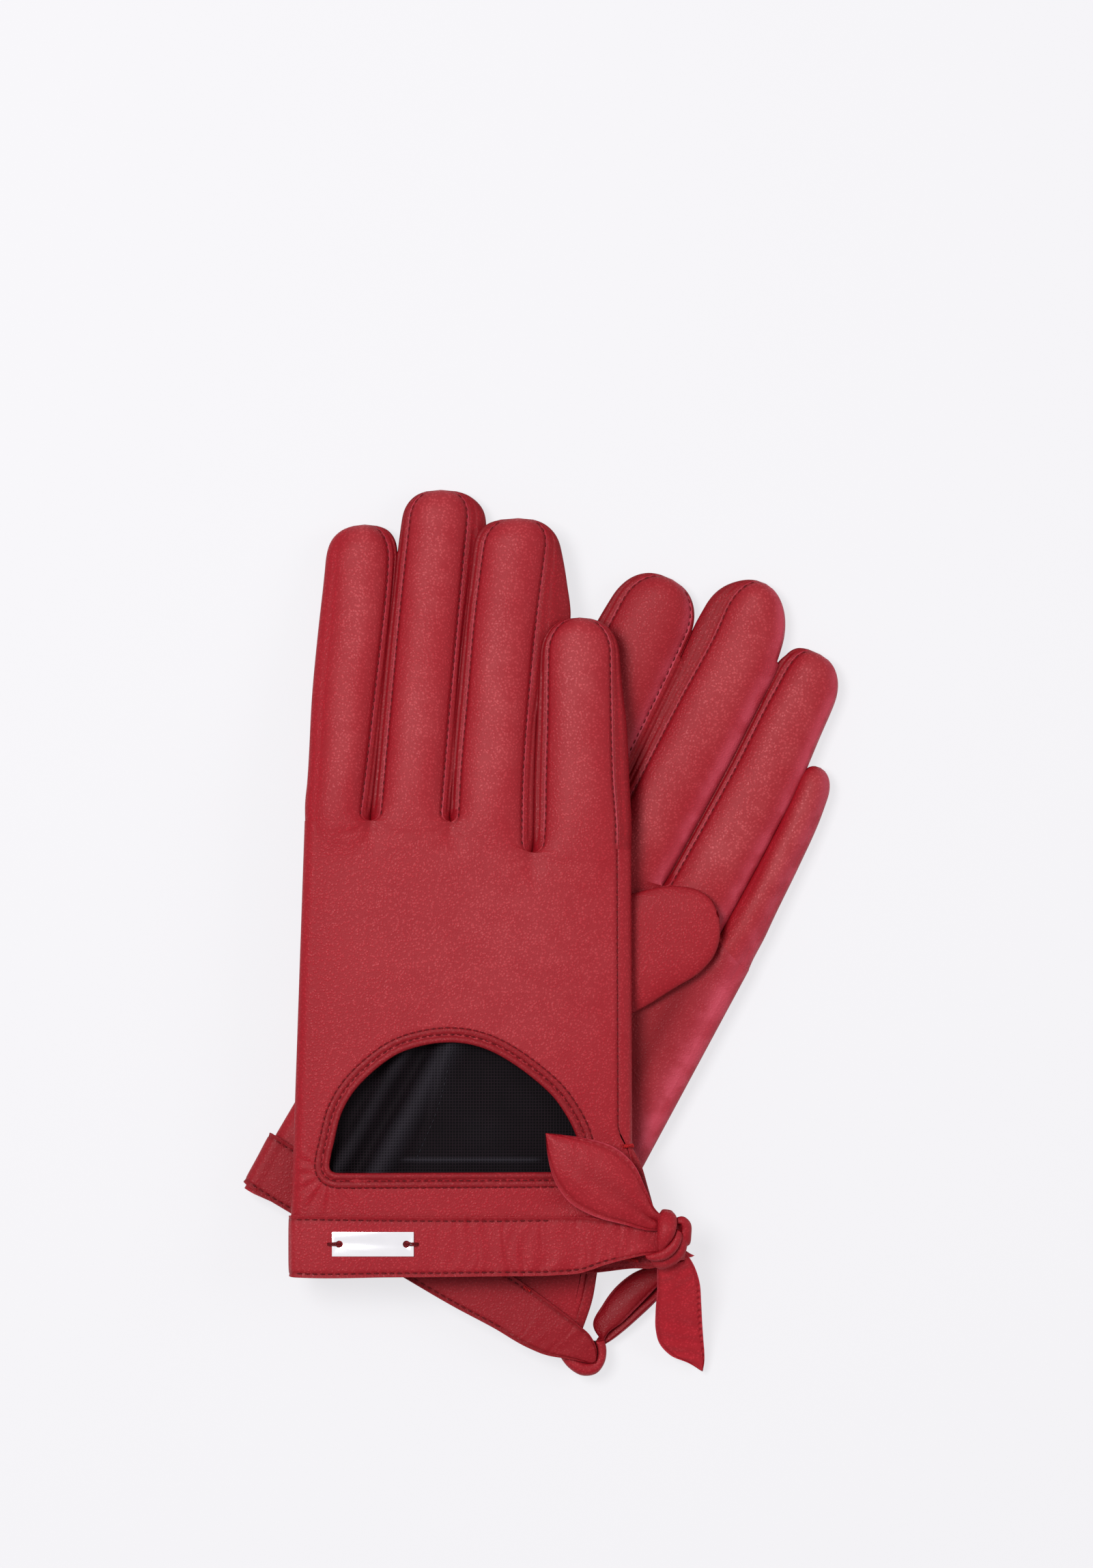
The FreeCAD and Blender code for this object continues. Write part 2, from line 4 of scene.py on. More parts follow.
import bpy
import numpy as np
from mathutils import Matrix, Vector


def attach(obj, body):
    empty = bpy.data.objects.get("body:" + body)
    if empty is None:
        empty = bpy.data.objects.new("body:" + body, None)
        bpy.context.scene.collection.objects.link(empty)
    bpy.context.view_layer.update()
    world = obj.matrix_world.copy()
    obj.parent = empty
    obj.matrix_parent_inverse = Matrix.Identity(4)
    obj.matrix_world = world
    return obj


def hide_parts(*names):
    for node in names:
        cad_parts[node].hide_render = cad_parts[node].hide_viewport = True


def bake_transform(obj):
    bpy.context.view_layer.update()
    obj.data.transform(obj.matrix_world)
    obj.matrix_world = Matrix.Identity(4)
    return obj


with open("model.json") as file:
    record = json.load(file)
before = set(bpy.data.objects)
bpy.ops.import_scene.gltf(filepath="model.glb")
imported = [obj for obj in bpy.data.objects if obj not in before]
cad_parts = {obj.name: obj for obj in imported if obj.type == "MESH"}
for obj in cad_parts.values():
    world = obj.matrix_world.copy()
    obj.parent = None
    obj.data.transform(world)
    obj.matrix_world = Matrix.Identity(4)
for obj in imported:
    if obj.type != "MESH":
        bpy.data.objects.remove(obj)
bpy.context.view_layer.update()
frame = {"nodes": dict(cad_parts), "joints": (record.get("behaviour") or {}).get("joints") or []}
bpy.ops.object.select_all(action="DESELECT")
print("frame loaded:", len(frame["nodes"]), "nodes")

mm = 0.001


# Each glove has its own frame: x across towards the little finger, y from the wrist to the fingertips,
# z up from the underside of the hand. The right glove lies back up, the left one palm up.

hand = {
    "leather": 0.9, "edgeHeight": 7.0, "crown": 8.5, "edgePower": 3.4,
    "foldRoll": 3.0, "seamRoll": 3.7, "halfWidth": 46.25, "foldSlant": 4.3, "outerSlant": 0.4,
    "ventTop": 36.0, "slitDip": 7.2, "rollStart": 0.27, "rollMiddle": 4.2, "rollShare": 0.10,
    "lowest": 1.4, "columns": 130, "rows": {"upper": 150, "lower": 140},
    "ripple": 0.22, "knuckle": 0.10, "puckerHigh": 0.26, "puckerReach": 4.2, "puckerCount": 9.0,
    "windowPress": 0.30, "windowSwell": 0.18, "cornerHigh": 0.22, "cornerCount": 13,
    "gatherHigh": 0.20, "gatherCount": 24, "outerGather": 0.10, "outerPitch": 1.7,
}

gloves = {
    "right": {
        "origin": (-20.861, -92.940, 14.1), "turn": 0.0, "body": "right_hand",
        "slits": [(-38.9, 122.6), (-24.2, 122.7), (-2.6, 122.4), (19.0, 114.1), (42.2, 115.0)],
        "top": "back", "bottom": "palm", "outer": "seam",
    },
    "left": {
        "origin": (-40.061, -93.640, 1.8), "turn": -28.5, "body": "left_glove",
        "slits": [(-38.9, 124.0), (-7.3, 123.4), (14.2, 128.0), (34.2, 122.5), (43.0, 119.0)],
        "top": "palm", "bottom": "back", "outer": "fold",
    },
}

# path: distance up the glove, middle and half width between the seams; left and right: how far the
# side strips stand out beyond the seams, by distance up the glove
fingers = {
    "right_index": {
        "tip": 202.9, "cap": 10.5, "round": 2.3, "fall": 13.6, "kinds": ("fold", "seam"),
        "path": [(122, -33.2, 6.3), (130, -32.2, 6.4), (158, -29.7, 7.05), (173, -28.2, 7.2),
                 (187, -26.9, 7.3), (203, -26.2, 7.3)],
        "left": [(122, 3.0), (190, 3.0), (203, 2.4)],
        "right": [(122, 1.5), (135, 2.0), (190, 1.8), (203, 1.6)],
    },
    "right_middle": {
        "tip": 212.3, "cap": 8.5, "round": 2.5, "fall": 13.6, "kinds": ("seam", "seam"),
        "path": [(124, -13.4, 8.5), (130, -12.9, 8.5), (155, -10.8, 8.4), (173, -9.2, 8.4), (194, -7.2, 8.3),
                 (204, -6.2, 8.2), (212, -5.6, 8.0)],
        "left": [(122, 1.5), (135, 2.1), (190, 1.9), (205, 1.7), (212, 1.2)],
        "right": [(122, 1.5), (135, 2.2), (180, 2.6), (194, 4.4), (201, 5.0), (206, 4.2), (212, 2.0)],
    },
    "right_ring": {
        "tip": 204.4, "cap": 8.5, "round": 2.5, "fall": 8.0, "kinds": ("seam", "seam"),
        "path": [(118, 7.9, 9.0), (130, 8.15, 8.9), (158, 10.2, 8.7), (180, 12.3, 8.8), (194, 14.1, 8.8),
                 (204, 15.4, 8.7)],
        "left": [(122, 1.5), (135, 2.0), (185, 1.7), (204, 1.0)],
        "right": [(114, 1.5), (128, 2.0), (150, 2.4), (163, 5.6), (177, 8.8), (187, 6.6), (195, 4.2),
                  (204, 1.0)],
    },
    "right_little": {
        "tip": 177.4, "cap": 10.0, "round": 2.2, "fall": 2.6, "kinds": ("seam", "outer"),
        "path": [(112, 31.9, 10.3), (120, 32.2, 10.0), (134, 31.9, 9.4), (150, 31.9, 9.0), (165, 31.9, 8.8),
                 (177, 32.0, 8.6)],
        "left": [(112, 1.5), (124, 2.2), (160, 2.0), (177, 1.2)],
        "right": [(112, 3.7), (150, 3.6), (160, 2.6), (168, 2.0), (177, 1.4)],
    },
    "left_index": {
        "tip": 202.3, "cap": 12.0, "round": 2.2, "fall": 1.7, "kinds": ("seam", "seam"), "paintedSheenLevel": 0.30,
        "deep": 0.16,
        "path": [(122, -20.6, 10.9), (130, -20.4, 10.8), (155, -20.9, 10.6), (182, -22.0, 10.4),
                 (202, -22.8, 9.8)],
        "left": [(122, 2.4), (190, 2.6), (202, 1.6)], "right": [(122, 1.0), (190, 0.9), (202, 0.7)],
    },
    "left_middle": {
        "tip": 213.4, "cap": 13.0, "round": 2.15, "fall": 1.7, "kinds": ("seam", "fold"),
        "path": [(124, 4.2, 8.9), (132, 4.2, 9.0), (146, 4.0, 9.2), (175, 3.4, 9.3), (197, 2.8, 8.9),
                 (207, 1.2, 8.4), (213, 0.0, 8.0)],
        "left": [(122, 1.6), (135, 2.2), (160, 3.2), (180, 4.6), (197, 5.6), (206, 4.0), (213, 1.0)],
        "right": [(122, 1.0), (197, 0.9), (213, 0.7)],
    },
    "left_ring": {
        "tip": 203.6, "cap": 11.0, "round": 2.5, "fall": 1.7, "kinds": ("seam", "fold"), "paintedSheenLevel": 0.84,
        "path": [(122, 24.4, 8.6), (132, 24.4, 8.6), (150, 24.6, 8.6), (168, 24.5, 8.5), (183, 23.6, 8.1),
                 (197, 22.9, 7.6), (203, 22.0, 7.4)],
        "left": [(122, 0.9), (180, 1.2), (196, 2.6), (203, 1.0)],
        "right": [(122, 0.8), (197, 0.8), (203, 0.6)],
    },
    "left_little": {
        "tip": 176.6, "cap": 7.0, "round": 2.3, "fall": 1.7, "kinds": ("fold", "fold"), "paintedSheenLevel": 0.95,
        "path": [(118, 39.8, 4.3), (128, 39.7, 4.0), (150, 39.2, 3.8), (163, 38.5, 3.9), (176, 36.8, 3.9)],
        "left": [(118, 0.6), (176, 0.6)],
        "right": [(118, 2.95), (119, 2.84), (121, 2.72), (124, 2.25), (129, 1.8), (134, 1.6), (150, 1.4),
                  (176, 0.8)],
    },
}

fingerShape = {"seamHeight": 5.5, "middle": 4.0, "crown": 8.5, "crownPower": 2.3, "slitRound": 2.6,
               "settle": 10.0, "furrow": 0.34, "furrowWidth": 0.34, "inset": 0.55, "lip": 0.32,
               "bendBefore": 2.0, "bendAfter": 10.0, "ripple": 0.16, "hang": 0.20, "hangFrom": 2.4,
               "linerGap": 1.6, "linerMiddle": 4.2, "linerTall": 2.1, "linerReach": 0.97, "stitchPitch": 2.05,
               "stitch": (1.35, 0.5, 0.4)}

names = ("index", "middle", "ring", "little")


# a number on a socket, so that shader sums read as sums
class Amount:
    def __init__(self, look, socket):
        self.look, self.socket = look, socket

    def __add__(self, other): return self.look.sum("ADD", self, other)
    def __radd__(self, other): return self.look.sum("ADD", other, self)
    def __sub__(self, other): return self.look.sum("SUBTRACT", self, other)
    def __rsub__(self, other): return self.look.sum("SUBTRACT", other, self)
    def __mul__(self, other): return self.look.sum("MULTIPLY", self, other)
    def __rmul__(self, other): return self.look.sum("MULTIPLY", other, self)


# a material, or the world, that is built node by node
class Look:
    def __init__(self, owner):
        self.owner = owner
        owner.use_nodes = True
        self.tree = owner.node_tree
        self.tree.nodes.clear()

    def node(self, kind, settings=None, inputs=None):
        made = self.tree.nodes.new(kind)
        for key, value in (settings or {}).items():
            setattr(made, key, value)
        for key, value in (inputs or {}).items():
            if isinstance(value, Amount):
                self.tree.links.new(value.socket, made.inputs[key])
            else:
                made.inputs[key].default_value = value
        outputs = {number: Amount(self, out) for number, out in enumerate(made.outputs)}
        return outputs | {out.name: Amount(self, out) for out in made.outputs}

    # a Mix node's colours go in at 6 and 7, and its colour comes out at 2
    def mix(self, factor, a, b):
        return self.node("ShaderNodeMix", {"data_type": "RGBA"}, {0: factor, 6: a, 7: b})[2]

    def between(self, value, low, high):
        return self.node("ShaderNodeMapRange", {"interpolation_type": "SMOOTHSTEP"},
                         {"Value": value, "From Min": low, "From Max": high})["Result"]

    def sum(self, kind, a, b):
        return self.node("ShaderNodeMath", {"operation": kind}, {0: a, 1: b})["Value"]

    def noise(self, place, scale, detail=2.0, result="Fac"):
        return self.node("ShaderNodeTexNoise", {}, {"Vector": place, "Scale": scale, "Detail": detail})[result]

    def painted(self, name):
        return self.node("ShaderNodeAttribute", {"attribute_name": name})["Fac"]

    # a surface whose relief is strength times depth high, in metres
    def surface(self, shade, rough, height, strength, depth, more):
        normal = self.node("ShaderNodeBump", {},
                           {"Strength": strength, "Distance": depth, "Height": height})["Normal"]
        skin = self.node("ShaderNodeBsdfPrincipled", {},
                         {"Base Color": shade, "Roughness": rough, "Normal": normal} | more)
        return self.finish(skin["BSDF"])

    def finish(self, shader, end="ShaderNodeOutputMaterial"):
        self.node(end, {}, {"Surface": shader})
        return self.owner


# the painted sheen's colour where the leather stands up, and the painted highlight's colour along an edge
paintedSheenShade, paintedHighlightShade = (0.550, 0.0860, 0.0960, 1), (0.52, 0.060, 0.095, 1)


# soft glove leather: fine pebbled grain, with painted sheen where it stands up and painted shade in folds and
# at edges
def makeLeather(name, base, deep, pale, grain=1.0):
    look = Look(bpy.data.materials.new(name))
    place = look.node("ShaderNodeTexCoord")["Object"]
    waver = look.noise(place, 420.0, result="Color")
    bent = look.node("ShaderNodeVectorMath", {"operation": "MULTIPLY_ADD"},
                     {0: waver, 1: (0.0009, 0.0009, 0.0009), 2: place})["Vector"]
    cells = look.node("ShaderNodeTexVoronoi", {"feature": "SMOOTH_F1"},
                      {"Vector": bent, "Scale": 1350.0, "Smoothness": 0.35})["Distance"]
    small = look.node("ShaderNodeTexVoronoi", {"feature": "F1"},
                      {"Vector": bent, "Scale": 2600.0})["Distance"]
    fine = look.noise(place, 3600.0)
    broad, patchy = look.noise(place, 38.0, 3.0), look.noise(place, 160.0, 3.0)
    strength = look.between(broad + patchy * 0.5, 0.55, 0.95)
    pebble = 1.0 - look.between(cells, 0.14, 0.54)
    height = pebble * (strength * 0.5 + 0.5) * 0.72 - look.between(small, 0.2, 0.8) * 0.24 + fine * 0.22
    paintedShading, paintedHighlight, paintedSheen = (look.painted(name) for name in ("paintedShading", "paintedHighlight", "paintedSheen"))
    mottle = look.between(broad, 0.35, 0.7) * 0.35 + look.between(patchy, 0.35, 0.7) * 0.2
    shade = look.mix(mottle, base, pale)
    # painted sheen on the crowns, with painted glints on the pebble tops
    shade = look.mix(paintedSheen * (0.40 + 0.28 * look.between(patchy, 0.35, 0.65) + 0.17 * pebble), shade, paintedSheenShade)
    shade = look.mix((1.0 - pebble) * 0.42, shade, deep)
    # painted shade in seams, creases, slits and on undersides
    shade = look.mix(paintedShading, shade, deep)
    # painted highlight along edges
    shade = look.mix(paintedHighlight * (0.55 + 0.45 * look.between(patchy, 0.4, 0.6)), shade, paintedHighlightShade)
    rough = 0.35 + (1.0 - pebble) * 0.15 + patchy * 0.1
    return look.surface(shade, rough, height, 0.8 * grain, 0.00011, {"Specular IOR Level": 0.20})


def makeThread(name, shade, dark):
    look = Look(bpy.data.materials.new(name))
    place = look.node("ShaderNodeTexCoord")["Object"]
    twist = look.noise(place, 2600.0)
    shade = look.mix(look.between(twist, 0.35, 0.65), dark, shade)
    return look.surface(shade, 0.62 + twist * 0.1, twist, 0.6, 0.0001, {"Specular IOR Level": 0.2})


# black lining: a fine square mesh, slightly paler on the threads
def makeCloth(name):
    look = Look(bpy.data.materials.new(name))
    flat = look.node("ShaderNodeUVMap", {"uv_map": "weave"})["UV"]
    parts = look.node("ShaderNodeSeparateXYZ", {}, {"Vector": flat})
    threads = []
    for key in ("X", "Y"):
        wave = look.node("ShaderNodeMath", {"operation": "SINE"}, {0: parts[key] * (2 * math.pi)})["Value"]
        threads.append(look.between(wave, -0.2, 0.9))
    mesh = look.sum("MAXIMUM", *threads)
    place = look.node("ShaderNodeTexCoord")["Object"]
    uneven = look.noise(place, 240.0, 3.0)
    dark, pale, paintedRidgeHighlight = shades["cloth"]
    shade = look.mix(mesh * (0.35 + uneven * 0.75), dark, pale)
    # painted highlight on the lining's fold ridges and hem, stronger on the threads
    shade = look.mix(look.painted("paintedShading") * (0.4 + mesh * 0.6), shade, paintedRidgeHighlight)
    return look.surface(shade, 0.60 + uneven * 0.15, mesh, 0.7, 0.0002, {"Specular IOR Level": 0.06})


# polished plate with faint brushing and a slightly worn edge
def makeMetal(name):
    look = Look(bpy.data.materials.new(name))
    place = look.node("ShaderNodeTexCoord")["Object"]
    drawn = look.node("ShaderNodeMapping", {}, {"Vector": place, "Scale": (60.0, 5000.0, 5000.0)})["Vector"]
    lines = look.noise(drawn, 1.0)
    shade = look.mix(look.noise(place, 300.0), *shades["metal"])
    return look.surface(shade, 0.12 + lines * 0.08, lines, 0.03, 0.00002, {"Metallic": 1.0})


# each leather's middle, deep and pale shade; each thread's shade and its dark; the others from dark to pale
shades = {
    "leather": ((0.360, 0.0062, 0.0160, 1), (0.185, 0.0015, 0.0055, 1), (0.415, 0.0165, 0.0270, 1)),
    # a paler copy of the glove leather for the hanging tie: painted light
    "tieLeather": ((0.480, 0.0120, 0.0260, 1), (0.230, 0.0022, 0.0070, 1), (0.510, 0.0190, 0.0310, 1)),
    # a darker copy of the glove leather for strips that turn down between parts: painted shade
    "rollLeather": ((0.305, 0.0032, 0.0105, 1), (0.125, 0.0012, 0.0038, 1), (0.360, 0.0085, 0.0170, 1)),
    "thread": ((0.165, 0.0030, 0.0070, 1), (0.070, 0.0012, 0.0030, 1)),
    "brightThread": ((0.50, 0.010, 0.014, 1), (0.24, 0.005, 0.008, 1)),
    "blackThread": ((0.02, 0.018, 0.024, 1), (0.006, 0.005, 0.008, 1)),
    # the lining's third shade is its painted highlight
    "cloth": ((0.0012, 0.0009, 0.0014, 1), (0.0140, 0.0085, 0.0115, 1), (0.042, 0.037, 0.047, 1)),
    "metal": ((0.86, 0.85, 0.87, 1), (0.93, 0.92, 0.93, 1)),
}
leather = makeLeather("glove_leather", *shades["leather"])
tieLeather = makeLeather("tie_leather", *shades["tieLeather"])
rollLeather = makeLeather("rolled_leather", *shades["rollLeather"], 0.7)
thread = makeThread("red_thread_twist", *shades["thread"])
brightThread = makeThread("bright_thread_twist", *shades["brightThread"])
cloth = makeCloth("lining_mesh")
metal = makeMetal("plate_polish")
print("materials made")


# points of a glove's own frame, in millimetres, to metres in the shared frame
def inFrame(side, points):
    x0, y0, z0 = gloves[side]["origin"]
    turn = math.radians(gloves[side]["turn"])
    x, y, z = points[..., 0], points[..., 1], points[..., 2]
    return np.stack([x0 + x * math.cos(turn) - y * math.sin(turn),
                     y0 + x * math.sin(turn) + y * math.cos(turn), z0 + z], -1) * mm


def smoothStep(value, low=0.0, high=1.0):
    part = np.clip((value - low) / (high - low), 0, 1)
    return part * part * (3 - 2 * part)


# a rounded hump, one high at middle
def hump(value, middle, width):
    return np.exp(-((value - middle) / width) ** 2)


# a smooth line through points, read at each place; the first column is the place
def through(points, where):
    points = np.asarray(points, float)
    place, values = points[:, 0], points[:, 1:]
    slope = np.gradient(values, place, axis=0)
    i = np.clip(np.searchsorted(place, where, side="right") - 1, 0, len(place) - 2)
    step = place[i + 1] - place[i]
    f = np.clip((where - place[i]) / step, 0, 1)[..., None]
    step = step[..., None]
    return ((2 * f**3 - 3 * f**2 + 1) * values[i] + (f**3 - 2 * f**2 + f) * step * slope[i]
            + (3 * f**2 - 2 * f**3) * values[i + 1] + (f**3 - f**2) * step * slope[i + 1])


# the distance along a line to each of its points
def travelled(line):
    return np.concatenate([[0], np.cumsum(np.linalg.norm(np.diff(line, axis=0), axis=1))])


# a line read at other places than its own
def readAt(where, place, line):
    return np.stack([np.interp(where, place, line[:, k]) for k in range(line.shape[1])], -1)


def unit(vectors):
    return vectors / np.linalg.norm(vectors, axis=1)[:, None]


# rises from 0 to 1 as a quarter of a circle does
def quarter(value):
    return np.sqrt(1 - (1 - np.clip(value, 0, 1)) ** 2)


# a closed smooth line through points, count of them evenly spaced
def closedLine(points, count):
    points = np.asarray(points, float)
    n = len(points)
    dense = []
    for i in range(n):
        a, b, c, d = (points[(i + k) % n] for k in (-1, 0, 1, 2))
        for f in np.linspace(0, 1, 30, endpoint=False):
            dense.append(0.5 * (2 * b + (c - a) * f + (2 * a - 5 * b + 4 * c - d) * f * f
                                + (3 * b - a - 3 * c + d) * f**3))
    dense = np.array(dense + dense[:1])
    along = travelled(dense)
    return readAt(np.linspace(0, along[-1], count, endpoint=False), along, dense)


# a smooth line through points, count of them evenly spaced from end to end
def openLine(points, count):
    points = np.asarray(points, float)
    place = travelled(points)[:, None]
    dense = through(np.hstack([place, points]), np.linspace(0, place[-1, 0], 400))
    along = travelled(dense)
    return readAt(np.linspace(0, along[-1], count), along, dense)


# gentle unevenness, about one high
def ripple(x, y, scale, seed):
    return (np.sin(x / scale + seed) * np.cos(y / scale * 0.8 + 1.7 * seed)
            + 0.6 * np.sin((x + y) / scale * 1.7 + 2.3 * seed)
            + 0.4 * np.cos((x * 0.6 - y) / scale * 2.3 + seed)) / 2


def paint(piece, name, values):
    mark = piece.data.attributes.get(name) or piece.data.attributes.new(name, "FLOAT", "POINT")
    mark.data.foreach_set("value", np.asarray(values, np.float32))


def dress(piece, material):
    piece.data.materials.clear()
    piece.data.materials.append(material)


# a grid pulled to shape: place(u, v) gives points and, if it has them, its painted shading, painted highlight
# and painted sheen
def makeSheet(name, side, columns, rows, place, material=None, thick=0.0, cut=None,
              weave=None, closed=False, merged=False):
    bpy.ops.mesh.primitive_grid_add(x_subdivisions=columns, y_subdivisions=rows, size=1)
    piece = bpy.context.object
    piece.name = piece.data.name = name
    mesh = piece.data
    co = np.empty(len(mesh.vertices) * 3)
    mesh.vertices.foreach_get("co", co)
    co = co.reshape(-1, 3)
    u, v = np.clip(co[:, 0] + 0.5, 0, 1), np.clip(co[:, 1] + 0.5, 0, 1)
    points, *marks = place(u, v)
    mesh.vertices.foreach_set("co", inFrame(side, points).ravel())
    paint(piece, "paintedShading", marks[0] if marks else np.zeros(len(u)))
    paint(piece, "paintedHighlight", marks[1] if len(marks) > 1 else np.zeros(len(u)))
    # a little painted sheen everywhere, unless place gives more
    paint(piece, "paintedSheen", marks[2] if len(marks) > 2 else np.full(len(u), 0.12))
    if weave:
        layer = mesh.uv_layers.new(name="weave")
        corner = np.empty(len(mesh.loops), int)
        mesh.loops.foreach_get("vertex_index", corner)
        flat = points[:, :2] / weave
        layer.data.foreach_set("uv", flat[corner].ravel())
    if cut is not None:
        gone = cut(points)
        bpy.ops.object.mode_set(mode="EDIT")
        bpy.ops.mesh.select_all(action="DESELECT")
        bpy.ops.object.mode_set(mode="OBJECT")
        mesh.vertices.foreach_set("select", gone)
        mesh.update()
        bpy.ops.object.mode_set(mode="EDIT")
        bpy.ops.mesh.delete(type="VERT")
        bpy.ops.object.mode_set(mode="OBJECT")
    if closed or merged:  # meeting edges and poles are merged, and a closed piece's faces turned outwards
        bpy.ops.object.mode_set(mode="EDIT")
        bpy.ops.mesh.select_all(action="SELECT")
        bpy.ops.mesh.remove_doubles(threshold=2e-6)
        if closed:
            bpy.ops.mesh.normals_make_consistent(inside=False)
        bpy.ops.object.mode_set(mode="OBJECT")
    if thick:
        shell = piece.modifiers.new("thickness", "SOLIDIFY")
        shell.thickness, shell.offset = thick * mm, -1
        bpy.ops.object.modifier_apply(modifier=shell.name)
    bpy.ops.object.shade_smooth_by_angle(angle=math.radians(55))
    dress(piece, material or leather)
    bpy.ops.object.select_all(action="DESELECT")
    return piece


def joined(name, pieces):
    bpy.ops.object.select_all(action="DESELECT")
    for piece in pieces:
        piece.select_set(True)
    bpy.context.view_layer.objects.active = pieces[0]
    if len(pieces) > 1:
        bpy.ops.object.join()
    pieces[0].name = pieces[0].data.name = name
    bpy.ops.object.select_all(action="DESELECT")
    return pieces[0]


bpy.ops.mesh.primitive_uv_sphere_add(segments=6, ring_count=4, radius=0.5)
stitchSeed = bpy.context.object
stitchShape = np.array([v.co for v in stitchSeed.data.vertices], float)[:, [2, 0, 1]]
stitchFaces = [tuple(f.vertices) for f in stitchSeed.data.polygons]
bpy.data.objects.remove(stitchSeed)


# a row of thread stitches along line, a list of points; up gives the surface normals
def makeStitches(name, side, line, up, pitch=2.0, size=(1.5, 0.42, 0.36), material=None, tilt=0.0):
    line, up = np.asarray(line, float), np.asarray(up, float)
    along = travelled(line)
    count = max(2, int(along[-1] / pitch))
    want = (np.arange(count) + 0.5) * along[-1] / count
    spot = readAt(want, along, line)
    ahead = readAt(np.minimum(want + 0.3, along[-1]), along, line)
    run = unit(ahead - readAt(np.maximum(want - 0.3, 0), along, line))
    across = unit(np.cross(readAt(want, along, up), run))
    normal = np.cross(run, across)
    leant = math.radians(tilt)
    first = run * math.cos(leant) + across * math.sin(leant)
    second = across * math.cos(leant) - run * math.sin(leant)
    shape = stitchShape * np.array(size)
    points = (spot[:, None] + shape[None, :, :1] * first[:, None] + shape[None, :, 1:2] * second[:, None]
              + shape[None, :, 2:] * normal[:, None])
    n = len(stitchShape)
    mesh = bpy.data.meshes.new(name)
    mesh.from_pydata(inFrame(side, points.reshape(-1, 3)).tolist(), [],
                     [tuple(i + k * n for i in f) for k in range(count) for f in stitchFaces])
    mesh.shade_smooth()
    piece = bpy.data.objects.new(name, mesh)
    bpy.context.collection.objects.link(piece)
    dress(piece, material or thread)
    return piece


windowOutline = closedLine(
    [(-35.2, 29.6), (-34.9, 32.6), (-34.2, 35.6), (-31.9, 44.4), (-27.2, 51.8), (-18.8, 59.0), (-10.9, 62.2),
     (-1.9, 63.2), (6.6, 61.5), (15.0, 56.9), (23.5, 50.0), (28.0, 44.2), (30.9, 38.4), (32.3, 33.0),
     (32.2, 30.0), (30.4, 28.5), (27.0, 28.4), (10.0, 28.3), (-12.0, 28.2), (-30.0, 28.1), (-34.0, 28.3)],
    360)
windowCorner, knotPlace = (-35.2, 28.6), (54, 15)  # folds fan out from both
windowRun = unit(np.roll(windowOutline, -1, 0) - np.roll(windowOutline, 1, 0))
# the outline runs clockwise, so this points outwards
windowOut = np.stack([-windowRun[:, 1], windowRun[:, 0]], -1)


# how far a place lies outside the window's edge, negative within it
def windowDistance(x, y):
    gap = np.full(len(x), 1e9)
    nearest = np.zeros(len(x), int)
    for start in range(0, len(windowOutline), 60):
        part = windowOutline[start:start + 60]
        away = np.hypot(x[:, None] - part[:, 0], y[:, None] - part[:, 1])
        best = away.argmin(1)
        closer = away[np.arange(len(x)), best] < gap
        gap = np.where(closer, away[np.arange(len(x)), best], gap)
        nearest = np.where(closer, best + start, nearest)
    side = ((x - windowOutline[nearest, 0]) * windowOut[nearest, 0]
            + (y - windowOutline[nearest, 1]) * windowOut[nearest, 1])
    return np.where(side > 0, gap, -gap)


# x of the hand's folded side
def foldEdge(y):
    return -hand["halfWidth"] + hand["foldSlant"] * y / 124.5


# x of the hand's outer side, which flares towards the knot below the vent
def outerEdge(y):
    return (hand["halfWidth"] - hand["outerSlant"] * y / 116.0
            + 5.2 * smoothStep(hand["ventTop"] - y, 0.0, 26.0))


# y of the cuff's raw edge, hidden under the bands
def cuffLine(side, x):
    if side == "left":
        return np.interp(x, (-46.0, -30.0, 40.0, 52.0), (1.8, 3.2, 3.4, 6.5))
    return np.interp(x, (-46.0, 28.0, 40.0, 52.0), (1.6, 2.2, 6.0, 9.0))


def topLeft(y):
    return foldEdge(y) + hand["foldRoll"]


# x where the upper panel meets the outer side's roll
def topRight(side, y):
    if gloves[side]["outer"] == "fold":
        return outerEdge(y) - hand["foldRoll"]
    return outerEdge(y) - 1.0 - (hand["seamRoll"] - 1.0) * smoothStep(y, 33.0, 41.0)


def slitLine(side, x):
    points = np.array(gloves[side]["slits"])
    return np.interp(x, points[:, 0], points[:, 1])


# height of the upper surface along the line through the slits' ends
def rootHeight(side, x):
    points = np.array(gloves[side]["slits"])
    i = np.clip(np.searchsorted(points[:, 0], x) - 1, 0, 3)
    a = 2 * (x - points[i, 0]) / (points[i + 1, 0] - points[i, 0]) - 1
    edge = np.where(((i == 0) & (a < 0)) | ((i == 3) & (a > 0)), hand["edgeHeight"], hand["slitDip"])
    return hand["crown"] - (hand["crown"] - edge) * np.abs(np.clip(a, -1, 1)) ** fingerShape["crownPower"]


